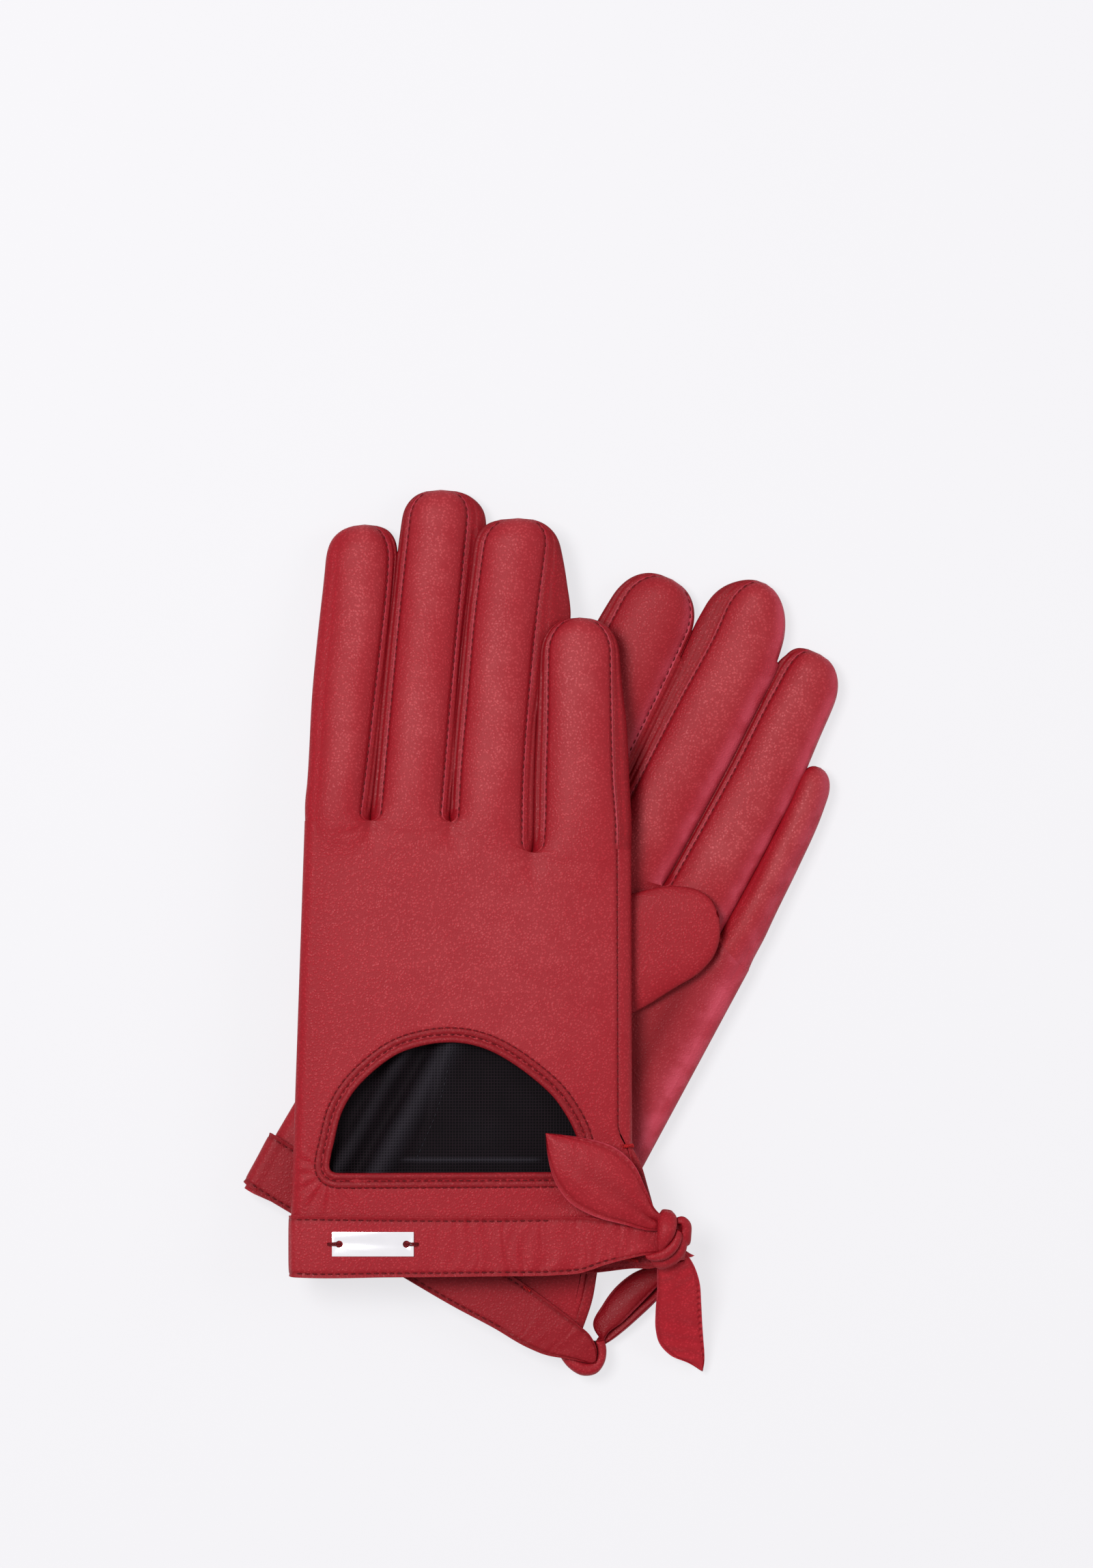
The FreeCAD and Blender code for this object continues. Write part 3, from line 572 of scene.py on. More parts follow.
# height of the upper surface of the hand
def handHeight(side, x, y):
    left, right = topLeft(y), topRight(side, y)
    a = np.clip(2 * (x - left) / (right - left) - 1, -1, 1)
    flat = hand["crown"] - (hand["crown"] - hand["edgeHeight"]) * np.abs(a) ** hand["edgePower"]
    calm = 1 - np.abs(a) ** 6
    flat = (flat + hand["ripple"] * ripple(x, y, 17.0, 1.3 if side == "right" else 4.1) * calm
            * smoothStep(y, 18.0, 40.0))
    below = slitLine(side, x) - y
    near = 1 - smoothStep(below, 0.0, 11.0)
    height = flat * (1 - near) + rootHeight(side, x) * near
    for sx, sy in gloves[side]["slits"][1:4]:  # small puckers fan out from each slit's end
        gap = np.hypot(x - sx, y - sy)
        fan = np.arctan2(x - sx, sy - y)
        height = (height
                  + hand["puckerHigh"] * np.exp(-gap / hand["puckerReach"])
                  * np.cos(fan * hand["puckerCount"] + 0.8 * np.sin(gap)) * smoothStep(gap, 0.0, 1.5))
        height = height - 0.12 * hump(fan, 0.1, 0.18) * np.exp(-gap / 9.0)
    # a faint knuckle crease
    height = height - hand["knuckle"] * hump(y - slitLine(side, x), -3.4, 0.9) * calm
    return height


# painted sheen: paler over the middle of the hand, less beside the folded side and towards the cuff
def handPaintedSheen(x, y):
    paintedSheen = 0.16 + 0.30 * np.exp(-((x - 8) / 30) ** 2 - ((y - 90) / 34) ** 2) + 0.10 * ripple(x, y, 14.0, 2.6)
    paintedSheen = paintedSheen * (1 - hump(x, topLeft(y), 7.0)) * (1 - 0.7 * smoothStep(60 - y, 0, 30))
    return np.clip(paintedSheen, 0, 1)


# tight little gathers beside the outer seam
def outerPuckers(x, y, right):
    inside = np.clip(right - x, 0, None)
    waves = np.sin(y * 2 * math.pi / hand["outerPitch"] + 1.3 * np.sin(y / 6.0))
    return hand["outerGather"] * np.exp(-inside / 1.6) * waves


# round from an upper edge (s 0) outwards and down to the lower edge (s 1)
def rollPoint(edgeX, edgeZ, direction, bulge, middle, s, start=None):
    low = hand["rollStart"] if start is None else start
    angle = low + s * (math.pi - 2 * low)
    out = bulge * (np.sin(angle) - np.sin(low)) / (1 - np.sin(low))
    z = middle + (edgeZ - middle) * np.cos(angle) / np.cos(low)
    return edgeX + direction * out, z


# height of the underside of the hand
def lowerHeight(side, x, y):
    left, right = topLeft(y), topRight(side, y)
    a = np.clip(2 * (x - left) / (right - left) - 1, -1, 1)
    return hand["lowest"] * np.abs(a) ** hand["edgePower"]


# the upper panel with the rolled fold side; the right glove's has the window
def handUpper(side):
    wrap = hand["rollShare"]

    def place(u, v):
        top = slitLine(side, np.interp(u, [wrap, 1], [-38.9, 42.3]))
        y = cuffLine(side, np.interp(u, [wrap, 1], [-43.0, 48.0])) * (1 - v) + v * top
        a = np.clip((u - wrap) / (1 - wrap), 0, 1)
        a = 0.5 + 0.5 * (1.25 * (2 * a - 1) - 0.25 * (2 * a - 1) ** 3)
        left, right = topLeft(y), topRight(side, y)
        x = left + (right - left) * a
        y = cuffLine(side, x) * (1 - v) + v * slitLine(side, np.clip(x, -38.9, 42.3))
        z = handHeight(side, x, y)
        if gloves[side]["outer"] == "seam":
            z = (z - 0.45 * hump(right, x, 0.5) * smoothStep(y, 36, 42)
                 + outerPuckers(x, y, right) * smoothStep(y, 36, 44))
        rolled = u < wrap
        s = np.clip((wrap - u) / wrap, 0, 1)
        rx, rz = rollPoint(topLeft(y), handHeight(side, topLeft(y), y), -1, hand["foldRoll"],
                           hand["rollMiddle"], s)
        x, z = np.where(rolled, rx, x), np.where(rolled, rz, z)
        # painted shade where the fold rolls down and just inside it
        deep = np.where(rolled, 0.2 * smoothStep(s, 0.1, 0.5), 0.10 * np.exp(-(x - topLeft(y)) / 2.0))
        if gloves[side]["outer"] == "seam":
            # painted shade at the outer seam
            deep = np.maximum(deep, 0.4 * hump(right, x, 0.8))
        if gloves[side]["top"] == "back":
            gap = windowDistance(x, y)
            z = z - hand["windowPress"] * hump(gap, 3.0, 0.7) + hand["windowSwell"] * hump(gap, 2.0, 0.6)
            off, up = x - windowCorner[0], y - windowCorner[1]
            corner, fan = np.hypot(off, up), np.arctan2(up, off)
            z = (z + hand["cornerHigh"] * hump(corner, 7, 4.5) * np.sin(fan * hand["cornerCount"])
                 * (gap > 1.5) * (y < 34))
            off, up = x - knotPlace[0], y - knotPlace[1]
            reach, turn = np.hypot(off, up), np.arctan2(up, -off)
            gathers = hump(reach, 20, 13) * smoothStep(gap, 2.6, 4.4) * smoothStep(44 - x, 0, 5)
            z = (z + hand["gatherHigh"] * gathers
                 * np.sin(turn * hand["gatherCount"] + 1.2 * np.sin(reach / 4)))
            # painted shade in the pressed line round the window
            deep = np.maximum(deep, 0.5 * hump(gap, 3.0, 0.8))
        for sx, sy in gloves[side]["slits"][1:4]:
            # painted shade at the slits' ends
            deep = np.maximum(deep, 0.5 * np.exp(-np.hypot(x - sx, y - sy) / 1.8))
        # painted highlight along the left glove's outer edge
        paintedHighlight = 0.80 * hump(right, x, 3.0) + 0.15 * hump(right, x, 8.0)
        paintedHighlight = (side == "left") * paintedHighlight * smoothStep(y, 22, 50)
        # painted sheen over the hand
        paintedSheen = handPaintedSheen(x, y)
        near = hump(x, 27, 14.0) * (0.58 + 0.22 * (1 - smoothStep(y, 55, 80)))  # painted shadow beside the glove on top
        # painted shade in the valley inside the outer edge
        valley = 0.38 * hump(right - x, 10.5, 2.6) * smoothStep(y, 15, 45)
        deep = np.clip(deep + (side == "left") * (near + valley), 0, 1)
        return np.stack([x, y, z], -1), np.clip(deep, 0, 1), paintedHighlight, np.clip(paintedSheen, 0, 1)

    cut = (lambda p: windowDistance(p[:, 0], p[:, 1]) < 0.9) if gloves[side]["top"] == "back" else None
    piece = makeSheet(f"{side}_hand_{gloves[side]['top']}", side, hand["columns"], hand["rows"]["upper"],
                      place, thick=hand["leather"], cut=cut)
    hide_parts(f"{side}_{gloves[side]['top']}_panel", f"{side}_fold_side")
    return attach(piece, gloves[side]["body"])


# painted shade from the outer seam (s 0) down to the underside: at the seam, and deeper as the roll turns
# under
def outerPaintedShade(s):
    return 0.28 * smoothStep(s, 0.2, 0.6) + 0.40 * hump(s, 0, 0.05)


# the lower panel, which also rolls up round the outer side to the seam
def handLower(side):
    wrap = hand["rollShare"]

    def place(u, v):
        u = 1 - u  # seen from below, so that the faces point down
        across = np.clip(u / (1 - wrap), 0, 1)
        top = slitLine(side, np.interp(across, [0, 1], [-38.9, 42.3]))
        y = cuffLine(side, np.interp(across, [0, 1], [-43.0, 46.0])) * (1 - v) + v * top
        left, right = topLeft(y), topRight(side, y)
        x = left + (right - left) * across
        z = lowerHeight(side, x, y)
        rolled = u > 1 - wrap
        s = np.clip((1 - u) / wrap, 0, 1)
        y = np.where(rolled, cuffLine(side, 46.0) * (1 - v) + v * slitLine(side, 42.3), y)
        right = topRight(side, y)
        bulge = outerEdge(y) - right
        upper = handHeight(side, right, y)
        if gloves[side]["outer"] == "seam":
            rx, rz = rollPoint(right, upper - 0.15, 1, bulge, hand["rollMiddle"], s, 0.05)
            rz = rz + 0.30 * hump(s, 0.07, 0.035) * smoothStep(y, 34, 42)
            rz = rz + 0.10 * np.sin(y * 2 * math.pi / 2.6) * hump(s, 0.22, 0.14) * smoothStep(y, 34, 42)
        else:
            rx, rz = rollPoint(right, upper, 1, bulge, hand["rollMiddle"], s)
        x, z = np.where(rolled, rx, x), np.where(rolled, rz, z)
        fold = gloves[side]["outer"] == "fold"
        # painted shade on the underside and where the outer side rolls under
        deep = np.where(rolled, 0.3 * smoothStep(s, 0.3, 0.7) if fold else outerPaintedShade(s), 0.2)
        # painted highlight on the left glove's outer fold
        paintedHighlight = np.where(rolled & fold, 0.85 * (1 - smoothStep(s, 0.25, 0.6)) * smoothStep(y, 22, 50), 0.0)
        return np.stack([x, y, z], -1), deep, paintedHighlight

    back = gloves[side]["bottom"] == "back"
    cut = (lambda p: (windowDistance(p[:, 0], p[:, 1]) < 0.9) & (p[:, 2] < 3)) if back else None
    piece = makeSheet(f"{side}_hand_{gloves[side]['bottom']}", side, hand["columns"], hand["rows"]["lower"],
                      place, thick=hand["leather"], cut=cut)
    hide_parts(f"{side}_{gloves[side]['bottom']}_panel")
    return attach(piece, gloves[side]["body"])


def outerSeamStitches(side):
    y = np.linspace(38, 113 if side == "right" else 118, 200)
    x = topRight(side, y)
    if gloves[side]["outer"] == "seam":
        line = np.stack([x - 0.15, y, handHeight(side, x, y) - 0.30], -1)
        up = np.tile((-0.3, 0, 1.0), (len(y), 1))
    else:  # on the left glove the seam lies on the underside
        line = np.stack([x - 0.6, y, lowerHeight(side, x, y) + 0.1], -1)
        up = np.tile((0.3, 0, -1.0), (len(y), 1))
    piece = makeStitches(f"{side}_outer_stitching", side, line, up, 2.0, tilt=8)
    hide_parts(f"{side}_outer_seam")
    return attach(piece, gloves[side]["body"])


# everything that varies along a finger, at each place v from its root to its tip
def fingerRows(side, finger, v):
    shape, slits = fingers[f"{side}_{finger}"], gloves[side]["slits"]
    number = names.index(finger)
    start = np.array(slits[number]), np.array(slits[number + 1])
    base = 0.5 * (start[0][1] + start[1][1])
    length = shape["tip"] - base
    # rows crowd towards the slits' ends and the tip
    ease = 0.5 - 0.5 * np.cos(math.pi * v)
    t = length * (0.55 * v + 0.45 * ease)
    y = base + t
    middle, half = through(shape["path"], y).T
    cap = np.clip((y - (shape["tip"] - shape["cap"])) / shape["cap"], 0, 1)
    half = half * (1 - cap ** shape["round"]) ** (1 / shape["round"])
    flat = np.clip((y - (shape["tip"] - 6.0)) / 6.0, 0, 1)
    full = np.sqrt(np.clip(1 - flat ** 2.2, 0, 1))
    share = np.clip(t / length, 0, 1)
    drop = (shape["fall"] * (np.sqrt(share ** 2 + 0.02) - math.sqrt(0.02))
            / (math.sqrt(1.02) - math.sqrt(0.02)))
    rows = {"t": t, "y": y, "middle": middle, "half": half, "full": full, "drop": drop, "start": start}
    closing = np.sqrt(np.clip(1 - np.clip((y - shape["tip"] + 1.6) / 1.6, 0, 1) ** 2, 0, 1))
    for part, step in (("left", -1), ("right", 1)):
        out = through(shape[part], y)[:, 0]
        if 0 <= number + step < 4:  # neighbours touch where their seams run close together
            beside = fingers[f"{side}_{names[number + step]}"]
            centre, wide = through(beside["path"], y).T
            ownCentre, ownWide = through(shape["path"], y).T
            gap = np.abs(centre - ownCentre) - ownWide - wide
            near = gap / 2 * quarter(t / fingerShape["slitRound"]) + 0.15
            out = out * smoothStep(t, 0, 5.0)
            out = np.where((near < 3.1) & (y < beside["tip"] - 8), np.maximum(out, near), out)
        rows[part] = out * closing
    return rows


# x and y of the upper surface, a from -1 at the left seam to 1 at the right one
def fingerEdge(finger, rows, a):
    number = names.index(finger)
    t = rows["t"]
    quick = quarter(t / fingerShape["slitRound"])
    slow = smoothStep(t, 0, fingerShape["settle"])
    pull = [slow if number == 0 else quick, slow if number == 3 else quick]
    share = (a + 1) / 2
    pull = pull[0] * (1 - share) + pull[1] * share
    lineX = rows["start"][0][0] * (1 - share) + rows["start"][1][0] * share
    lineY = rows["start"][0][1] * (1 - share) + rows["start"][1][1] * share
    x = lineX * (1 - pull) + (rows["middle"] + a * rows["half"]) * pull
    y = (lineY + t) * (1 - slow) + rows["y"] * slow  # the rows start on the slits' line and then level out
    return x, y


def fingerSeamHeight(side, finger, rows, direction):
    kind = fingers[f"{side}_{finger}"]["kinds"][0 if direction < 0 else 1]
    low = fingerShape["seamHeight"] if kind == "seam" else (6.4 if kind == "outer" else 6.6)
    high = hand["slitDip"] if kind == "seam" else hand["edgeHeight"]
    return low + (high - low) * (1 - smoothStep(rows["t"], 0.0, 7.0 if kind == "seam" else 30.0))


# height of the upper surface, without the tip's rounding
def fingerUpper(side, finger, rows, a):
    edge = np.where(a < 0, fingerSeamHeight(side, finger, rows, -1), fingerSeamHeight(side, finger, rows, 1))
    z = fingerShape["crown"] - (fingerShape["crown"] - edge) * np.abs(a) ** fingerShape["crownPower"]
    y = rows["y"]
    z = (z + fingerShape["ripple"] * ripple(rows["middle"] + a * 8, y, 9.0, 2.0 + names.index(finger))
         * (1 - a ** 4) * smoothStep(rows["t"], 2, 14))
    return z


def fingerPoint(side, finger, rows, part, s):
    shape = fingers[f"{side}_{finger}"]
    middle = fingerShape["middle"]
    if part in ("top", "bottom"):
        x, y = fingerEdge(finger, rows, s)
        z = fingerUpper(side, finger, rows, s)
        toSeam = rows["half"] * (1 - np.abs(s)) + 0.02
        kind = np.where(s < 0, shape["kinds"][0] != "fold", shape["kinds"][1] != "fold")
        sewn = kind * smoothStep(rows["t"], 0.3, 2.5)
        groove = hump(toSeam, fingerShape["inset"], fingerShape["furrowWidth"])
        z = z - fingerShape["furrow"] * groove * sewn
        # painted shade in the seam's furrow and beside it, plus the finger's own deep amount
        beside = np.exp(-np.clip(toSeam - fingerShape["inset"], 0, None) / 1.8) * (toSeam > 0.5)
        deep = np.where(kind, 0.55 * groove + 0.28 * beside, 0.10 * beside) + shape.get("deep", 0.0)
        if part == "bottom":
            z = 2 * middle - z + 0.25
        # painted highlight along the left glove's right edges, and a thin one on the seam lips
        paintedHighlight = (side == "left") * 0.75 * hump(rows["half"] * (1 - s), 0, 2.2)
        paintedHighlight = np.maximum(paintedHighlight, sewn * 0.55 * hump(toSeam, 0.12, 0.22))
        # painted sheen along the finger's crown, blending into the hand's at the root
        crown = ((1 - s ** 2) ** 1.6
                 * (shape.get("paintedSheenLevel", 0.70) + 0.25 * ripple(x, y, 11.0, 1.0 + names.index(finger)))
                 * rows["full"])
        root = smoothStep(rows["t"], 0.0, 22.0)
        paintedSheen = crown * root + handPaintedSheen(x, y) * (1 - root)
    else:
        direction = -1 if part == "left" else 1
        kind = shape["kinds"][0 if part == "left" else 1]
        x, y = fingerEdge(finger, rows, np.full_like(s, direction))
        edge = fingerSeamHeight(side, finger, rows, direction)
        bulge = rows[part]
        if kind == "fold":
            x, z = rollPoint(x, edge, direction, bulge * rows["full"], middle, s)
        else:
            before = x
            # a narrow strip turns down sooner
            steep = 0.05 if kind == "outer" else 0.50 - 0.48 * smoothStep(bulge, 3.0, 6.0)
            x, z = rollPoint(x, edge, direction, bulge * rows["full"] ** 0.5, middle, s, steep)
            sagging = np.clip(np.abs(x - before) - fingerShape["hangFrom"], 0, None)
            z = z - fingerShape["hang"] * sagging  # a wide strip hangs a little
            reach = s * (bulge * 1.2 + 3.2)
            lipUp = fingerShape["lip"] * hump(reach, 0.62, 0.30) * smoothStep(rows["t"], 1.5, 4)
            z = z + 0.5 * lipUp - 0.35 * hump(reach, 1.0, 0.35) * smoothStep(rows["t"], 1.5, 4)
        # painted shade as a side turns down towards the underside, less on a wide strip
        deep = 0.06 + 0.46 * smoothStep(s, 0.06, 0.4) * (1 - 0.75 * smoothStep(rows[part], 3.2, 6.0))
        if kind == "outer":
            deep = outerPaintedShade(s)
        elif kind == "fold":
            deep = 0.2 * smoothStep(s, 0.1, 0.5)
        # painted highlight on the left glove's folded right edge
        paintedHighlight = ((kind == "fold") * (side == "left") * (part == "right") * 0.8
                 * (1 - smoothStep(s, 0.25, 0.6)) + 0 * s)
        paintedSheen = 0.0 * s
    z = middle + (z - middle) * rows["full"] - rows["drop"]
    return np.stack([x, y, z], -1), np.clip(deep, 0, 1), paintedHighlight, np.clip(paintedSheen, 0, 1)


# the finger's pieces stay with the hand where it has no hinge, as where another glove covers it; with a hinge,
# their placement is only baked into their points
def bendsWith(piece, side, finger):
    hinge = [j for j in frame["joints"] if j["name"] == f"{side}_{finger}_fold"]
    if not hinge:
        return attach(piece, gloves[side]["body"])
    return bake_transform(piece)


def makeFinger(side, finger):
    name = f"{side}_{finger}"
    kinds = fingers[name]["kinds"]
    roll = [0.16 if kind == "fold" else 0.0 for kind in kinds]

    def crown(u, v):  # the upper skin, and the folded sides that it runs round
        rows = fingerRows(side, finger, v)
        a = np.clip((u - roll[0]) / (1 - roll[0] - roll[1]), 0, 1) * 2 - 1
        made = fingerPoint(side, finger, rows, "top", (3 * a - a ** 3) / 2)
        for part, share, inside in (("left", roll[0], u < roll[0]), ("right", roll[1], u > 1 - roll[1])):
            if share:
                s = np.clip((roll[0] - u if part == "left" else u - 1 + roll[1]) / share, 0, 1)
                rolled = fingerPoint(side, finger, rows, part, s)
                made = [np.where(inside[:, None] if one.ndim == 2 else inside, one, two)
                        for one, two in zip(rolled, made)]
        return made

    def face(part, flipped):
        def place(u, v):
            rows = fingerRows(side, finger, v)
            w = 1 - u if flipped else u
            if part == "bottom":
                w = 2 * w - 1
                return fingerPoint(side, finger, rows, part, (3 * w - w ** 3) / 2)
            return fingerPoint(side, finger, rows, part, w ** 1.35)
        return place

    upper = makeSheet(f"{name}_{gloves[side]['top']}_skin", side, 48, 120, crown, merged=True)
    lower = makeSheet(f"{name}_{gloves[side]['bottom']}_skin", side, 20, 80, face("bottom", True),
                      merged=True)
    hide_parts(f"{name}_{gloves[side]['top']}")
    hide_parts(f"{name}_{gloves[side]['bottom']}")
    made = [upper, lower]
    strips = [makeSheet(f"{name}_{part}_strip", side, 20, 120, face(part, part == "left"), rollLeather,
                        merged=True)
              for part, kind in zip(("left", "right"), kinds) if kind != "fold"]
    if strips:
        strips = joined(f"{name}_gusset", strips)
        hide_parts(f"{name}_sides")
        made.append(strips)
    else:
        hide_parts(f"{name}_{gloves[side]['top']}", f"{name}_sides")

    def liner(u, v):
        rows = fingerRows(side, finger, v * fingerShape["linerReach"])
        angle = 2 * math.pi * u
        x, y = fingerEdge(finger, rows, np.zeros_like(u))
        wide = np.clip(rows["half"] - fingerShape["linerGap"], 0.3, None)
        z = (fingerShape["linerMiddle"] + fingerShape["linerTall"] * np.sin(angle) * rows["full"]
             - rows["drop"])
        return (np.stack([x + wide * np.cos(angle), y, z], -1),)

    inner = makeSheet(f"{name}_liner", side, 20, 60, liner, cloth, 0.0, weave=0.8)
    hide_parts(f"{name}_lining")
    rows = fingerRows(side, finger, np.linspace(0, fingerShape["linerReach"], 61))
    wide = np.clip(rows["half"] - fingerShape["linerGap"], 0.3, None)
    tall = fingerShape["linerTall"] * rows["full"]
    around = math.pi * (3 * (wide + tall) - np.sqrt((3 * wide + tall) * (wide + 3 * tall))) * mm
    long = np.hypot(np.diff(rows["y"]), np.diff(rows["drop"])) * mm
    long.sum()
    float(((around[1:] + around[:-1]) / 2 * long).sum())
    made.append(inner)
    v = np.linspace(0, 1, 240)
    rows = fingerRows(side, finger, v)
    rowsOfThread = []
    for direction, kind in zip((-1, 1), kinds):
        if kind == "fold":
            continue
        a = direction * (1 - np.clip(fingerShape["inset"] / np.clip(rows["half"], 0.3, None), 0, 0.5))
        for part in ("top", "bottom"):
            line = fingerPoint(side, finger, rows, part, a)[0]
            keep = (rows["t"] > 1.2) & (rows["y"] < fingers[name]["tip"] - 1.0)
            up = np.tile((0.25 * direction, 0, 1.0 if part == "top" else -1.0), (keep.sum(), 1))
            rowsOfThread.append(makeStitches(f"{name}_row", side, line[keep] + up * 0.04, up,
                                             fingerShape["stitchPitch"], fingerShape["stitch"], tilt=5))
    if rowsOfThread:
        made.append(joined(f"{name}_stitching", rowsOfThread))
    for piece in made:
        bendsWith(piece, side, finger)
    print("finger", name)


for side in gloves:
    handUpper(side)
    handLower(side)
    outerSeamStitches(side)
    for finger in names:
        makeFinger(side, finger)
print("hands and fingers made")


# a flat closed piece between two edges that run from its root to its tip
def makeBlade(name, side, first, second, thick, relief=None, material=None, columns=40, rows=100, square=0.75,
              ends=(0.03, 0.03), slot="red_leather", body=None, replaced=(), dim=0.0, bend=None):
    first, second = openLine(first, 300), openLine(second, 300)
    middle = (first + second) / 2
    run = np.gradient(middle, axis=0)
    normal = unit(np.cross(second - first + 1e-6, run))
    normal *= np.sign(np.median(normal[:, 2]) or 1)
    share = np.linspace(0, 1, 300)

    def place(u, v):
        angle = 2 * math.pi * u
        a = np.sign(np.cos(angle)) * np.abs(np.cos(angle)) ** square
        b = np.sign(np.sin(angle)) * np.abs(np.sin(angle)) ** square
        close = quarter(v / ends[0]) * quarter((1 - v) / ends[1])
        lift, paintedShading, paintedHighlight = relief(a, v) if relief else (0 * a, 0 * a, 0 * a)
        points = (readAt(v, share, first) * ((1 - a) / 2)[:, None]
                  + readAt(v, share, second) * ((1 + a) / 2)[:, None])
        out = (b * thick / 2 + lift) * np.where(close < 1e-4, 0, 1) - b * thick / 2 * (1 - close)
        points = points + readAt(v, share, normal) * out[:, None]
        # painted shade on the underside
        return points, np.clip(paintedShading + dim + 0.5 * (b < -0.2), 0, 1), paintedHighlight

    piece = makeSheet(name, side, columns, rows, place, material, closed=True)
    if replaced:
        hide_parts(*replaced)
    if bend:  # with a bend, its placement is only baked into its points; the bend's ends are worked out and not used
        start, end = inFrame(side, np.array(bend))
        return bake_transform(piece)
    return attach(piece, body or gloves[side]["body"])


# a rolled lip along both edges of a strip, with a shallow valley inside it
def edgeLip(a, height, reach, valley):
    near = 1 - np.abs(a)
    return height * hump(near, 0, reach) - height * 0.55 * hump(near, valley, reach * 1.1)


# the binding's section, out from the window's edge and up from the leather, and its two stitch rows
binding = {
    "section": [(0.6, -1.3), (0.15, -1.1), (-0.05, -0.5), (0.1, 0.15), (0.6, 0.52), (1.2, 0.50), (1.8, 0.12),
                (2.1, -0.12), (2.45, 0.16), (3.1, 0.34), (3.7, 0.22), (4.1, -0.12), (4.3, -0.8)],
    "stitchRows": ((2.1, 0.06), (3.95, 0.20)), "pitch": 1.9, "gathers": 7.2, "rows": 36,
}


def makeBinding(side):
    onTop = gloves[side]["top"] == "back"
    profile = np.array(binding["section"])
    count = len(windowOutline)

    def place(u, v):
        i = np.round(u * count).astype(int) % count
        off, up = readAt(v, np.linspace(0, 1, len(profile)), profile).T
        pull = 0.08 * np.sin(i * 2 * math.pi / binding["gathers"]) * hump(off, 2.1, 0.9)
        x = windowOutline[i, 0] + windowOut[i, 0] * off
        y = windowOutline[i, 1] + windowOut[i, 1] * off
        ground = handHeight(side, x, y) if onTop else lowerHeight(side, x, y)
        z = ground + (up + pull) if onTop else ground - (up + pull)
        # painted shade in the groove between the stitch rows and where the roll tucks under
        paintedShading = 0.15 + 0.55 * hump(off, 2.1, 0.35) + 0.6 * (up < -0.4)
        return np.stack([x, y, z], -1), np.clip(paintedShading, 0, 1)

    ring = makeSheet(f"{side}_window_roll", side, count, binding["rows"], place, rollLeather, closed=True)
    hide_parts(f"{side}_window_binding")
    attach(ring, gloves[side]["body"])
    loop = np.arange(count + 1) % count
    for number, (off, up) in enumerate(binding["stitchRows"]):
        x = windowOutline[loop, 0] + windowOut[loop, 0] * off
        y = windowOutline[loop, 1] + windowOut[loop, 1] * off
        z = handHeight(side, x, y) + up if onTop else lowerHeight(side, x, y) - up
        row = makeStitches(f"{side}_window_stitching_{number}", side, np.stack([x, y, z], -1),
                           np.tile((0, 0, 1.0 if onTop else -1.0), (count + 1, 1)), binding["pitch"])
        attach(row, gloves[side]["body"])


lining = {"left": -42.6, "right": 41.4, "start": 3.0, "top": 112.0, "hem": 31.3, "window": 0.0022}


# height of the lower lining, which lies in a slanting fold at the left of the window
def liningFloor(x, y):
    along = np.array((0.49, 0.872))
    off = (x + 22.0) * along[1] - (y - 29.0) * along[0]
    ridge = 2.6 * hump(off, 0, 3.6) - 1.3 * hump(off, -5.0, 2.0)
    ridge = ridge + 1.3 * hump(off, -9.5, 2.4) - 0.8 * hump(off, -13.5, 1.8)
    seam = (x + 12.5) * 0.97 - (y - 31.0) * 0.25
    ridge = ridge + 0.5 * smoothStep(seam, -0.5, 0.5) - 0.35 * hump(seam, 0, 0.6)
    ridge = (ridge
             + 0.35 * hump(y, lining["hem"], 0.55) * smoothStep(x, -17, -14) * (1 - smoothStep(x, 19, 23)))
    return 3.1 + ridge * smoothStep(y, 8, 24) + 0.25 * ripple(x, y, 6.0, 0.7)


def makeLining(side):
    width, length = lining["right"] - lining["left"], lining["top"] - lining["start"]
    onTop = gloves[side]["top"] == "back"

    def spread(u, v, inset):
        low = lining["start"] + 9.0 * smoothStep(u, 0.78, 0.95)
        y = low + v * (lining["top"] - low)
        return foldEdge(y) + inset + u * (width - 0.035 * (y - 60)), y

    def lower(u, v):
        x, y = spread(u, v, 3.0)
        flat = liningFloor(x, y) if onTop else 3.0 + 0 * x
        hem = hump(y, lining["hem"], 0.4) * smoothStep(x, -17, -14) * (1 - smoothStep(x, 19, 23))
        # painted highlight on the fold ridges and along the hem
        lit = np.clip((flat - 3.6) / 2.4, 0, 1) * 0.55 + 0.8 * hem
        return np.stack([x, y, np.minimum(flat + 1.2 * np.abs(2 * u - 1) ** 8, 6.2)], -1), lit

    def upper(u, v):
        x, y = spread(u, v, 3.2)
        return (np.stack([x, y, handHeight(side, x, y) - 1.25 - 0.9 * np.abs(2 * u - 1) ** 6], -1),)

    def opening(points):
        return windowDistance(points[:, 0], points[:, 1]) < 2.2

    below = makeSheet(f"{side}_lining_lower", side, 110, 130, lower, cloth, weave=0.8)
    above = makeSheet(f"{side}_lining_upper", side, 60, 90, upper, cloth, weave=0.8,
                      cut=opening if onTop else None)
    flat = (width * mm, length * mm)
    flat[0] * flat[1] - (lining["window"] if onTop else 0.0)
    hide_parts(f"{side}_hand_lining")
    for piece in (below, above):
        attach(piece, gloves[side]["body"])
    if onTop:
        line = openLine([(-2.3, 61.0, 0), (-6.0, 46.0, 0), (-12.0, 31.5, 0)], 60)
        line[:, 2] = liningFloor(line[:, 0], line[:, 1]) + 0.12
        row = makeStitches(f"{side}_lining_stitching", side, line, np.tile((0, 0, 1.0), (60, 1)), 1.7,
                           (1.1, 0.3, 0.25), makeThread("black_thread_twist", *shades["blackThread"]))
        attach(row, gloves[side]["body"])


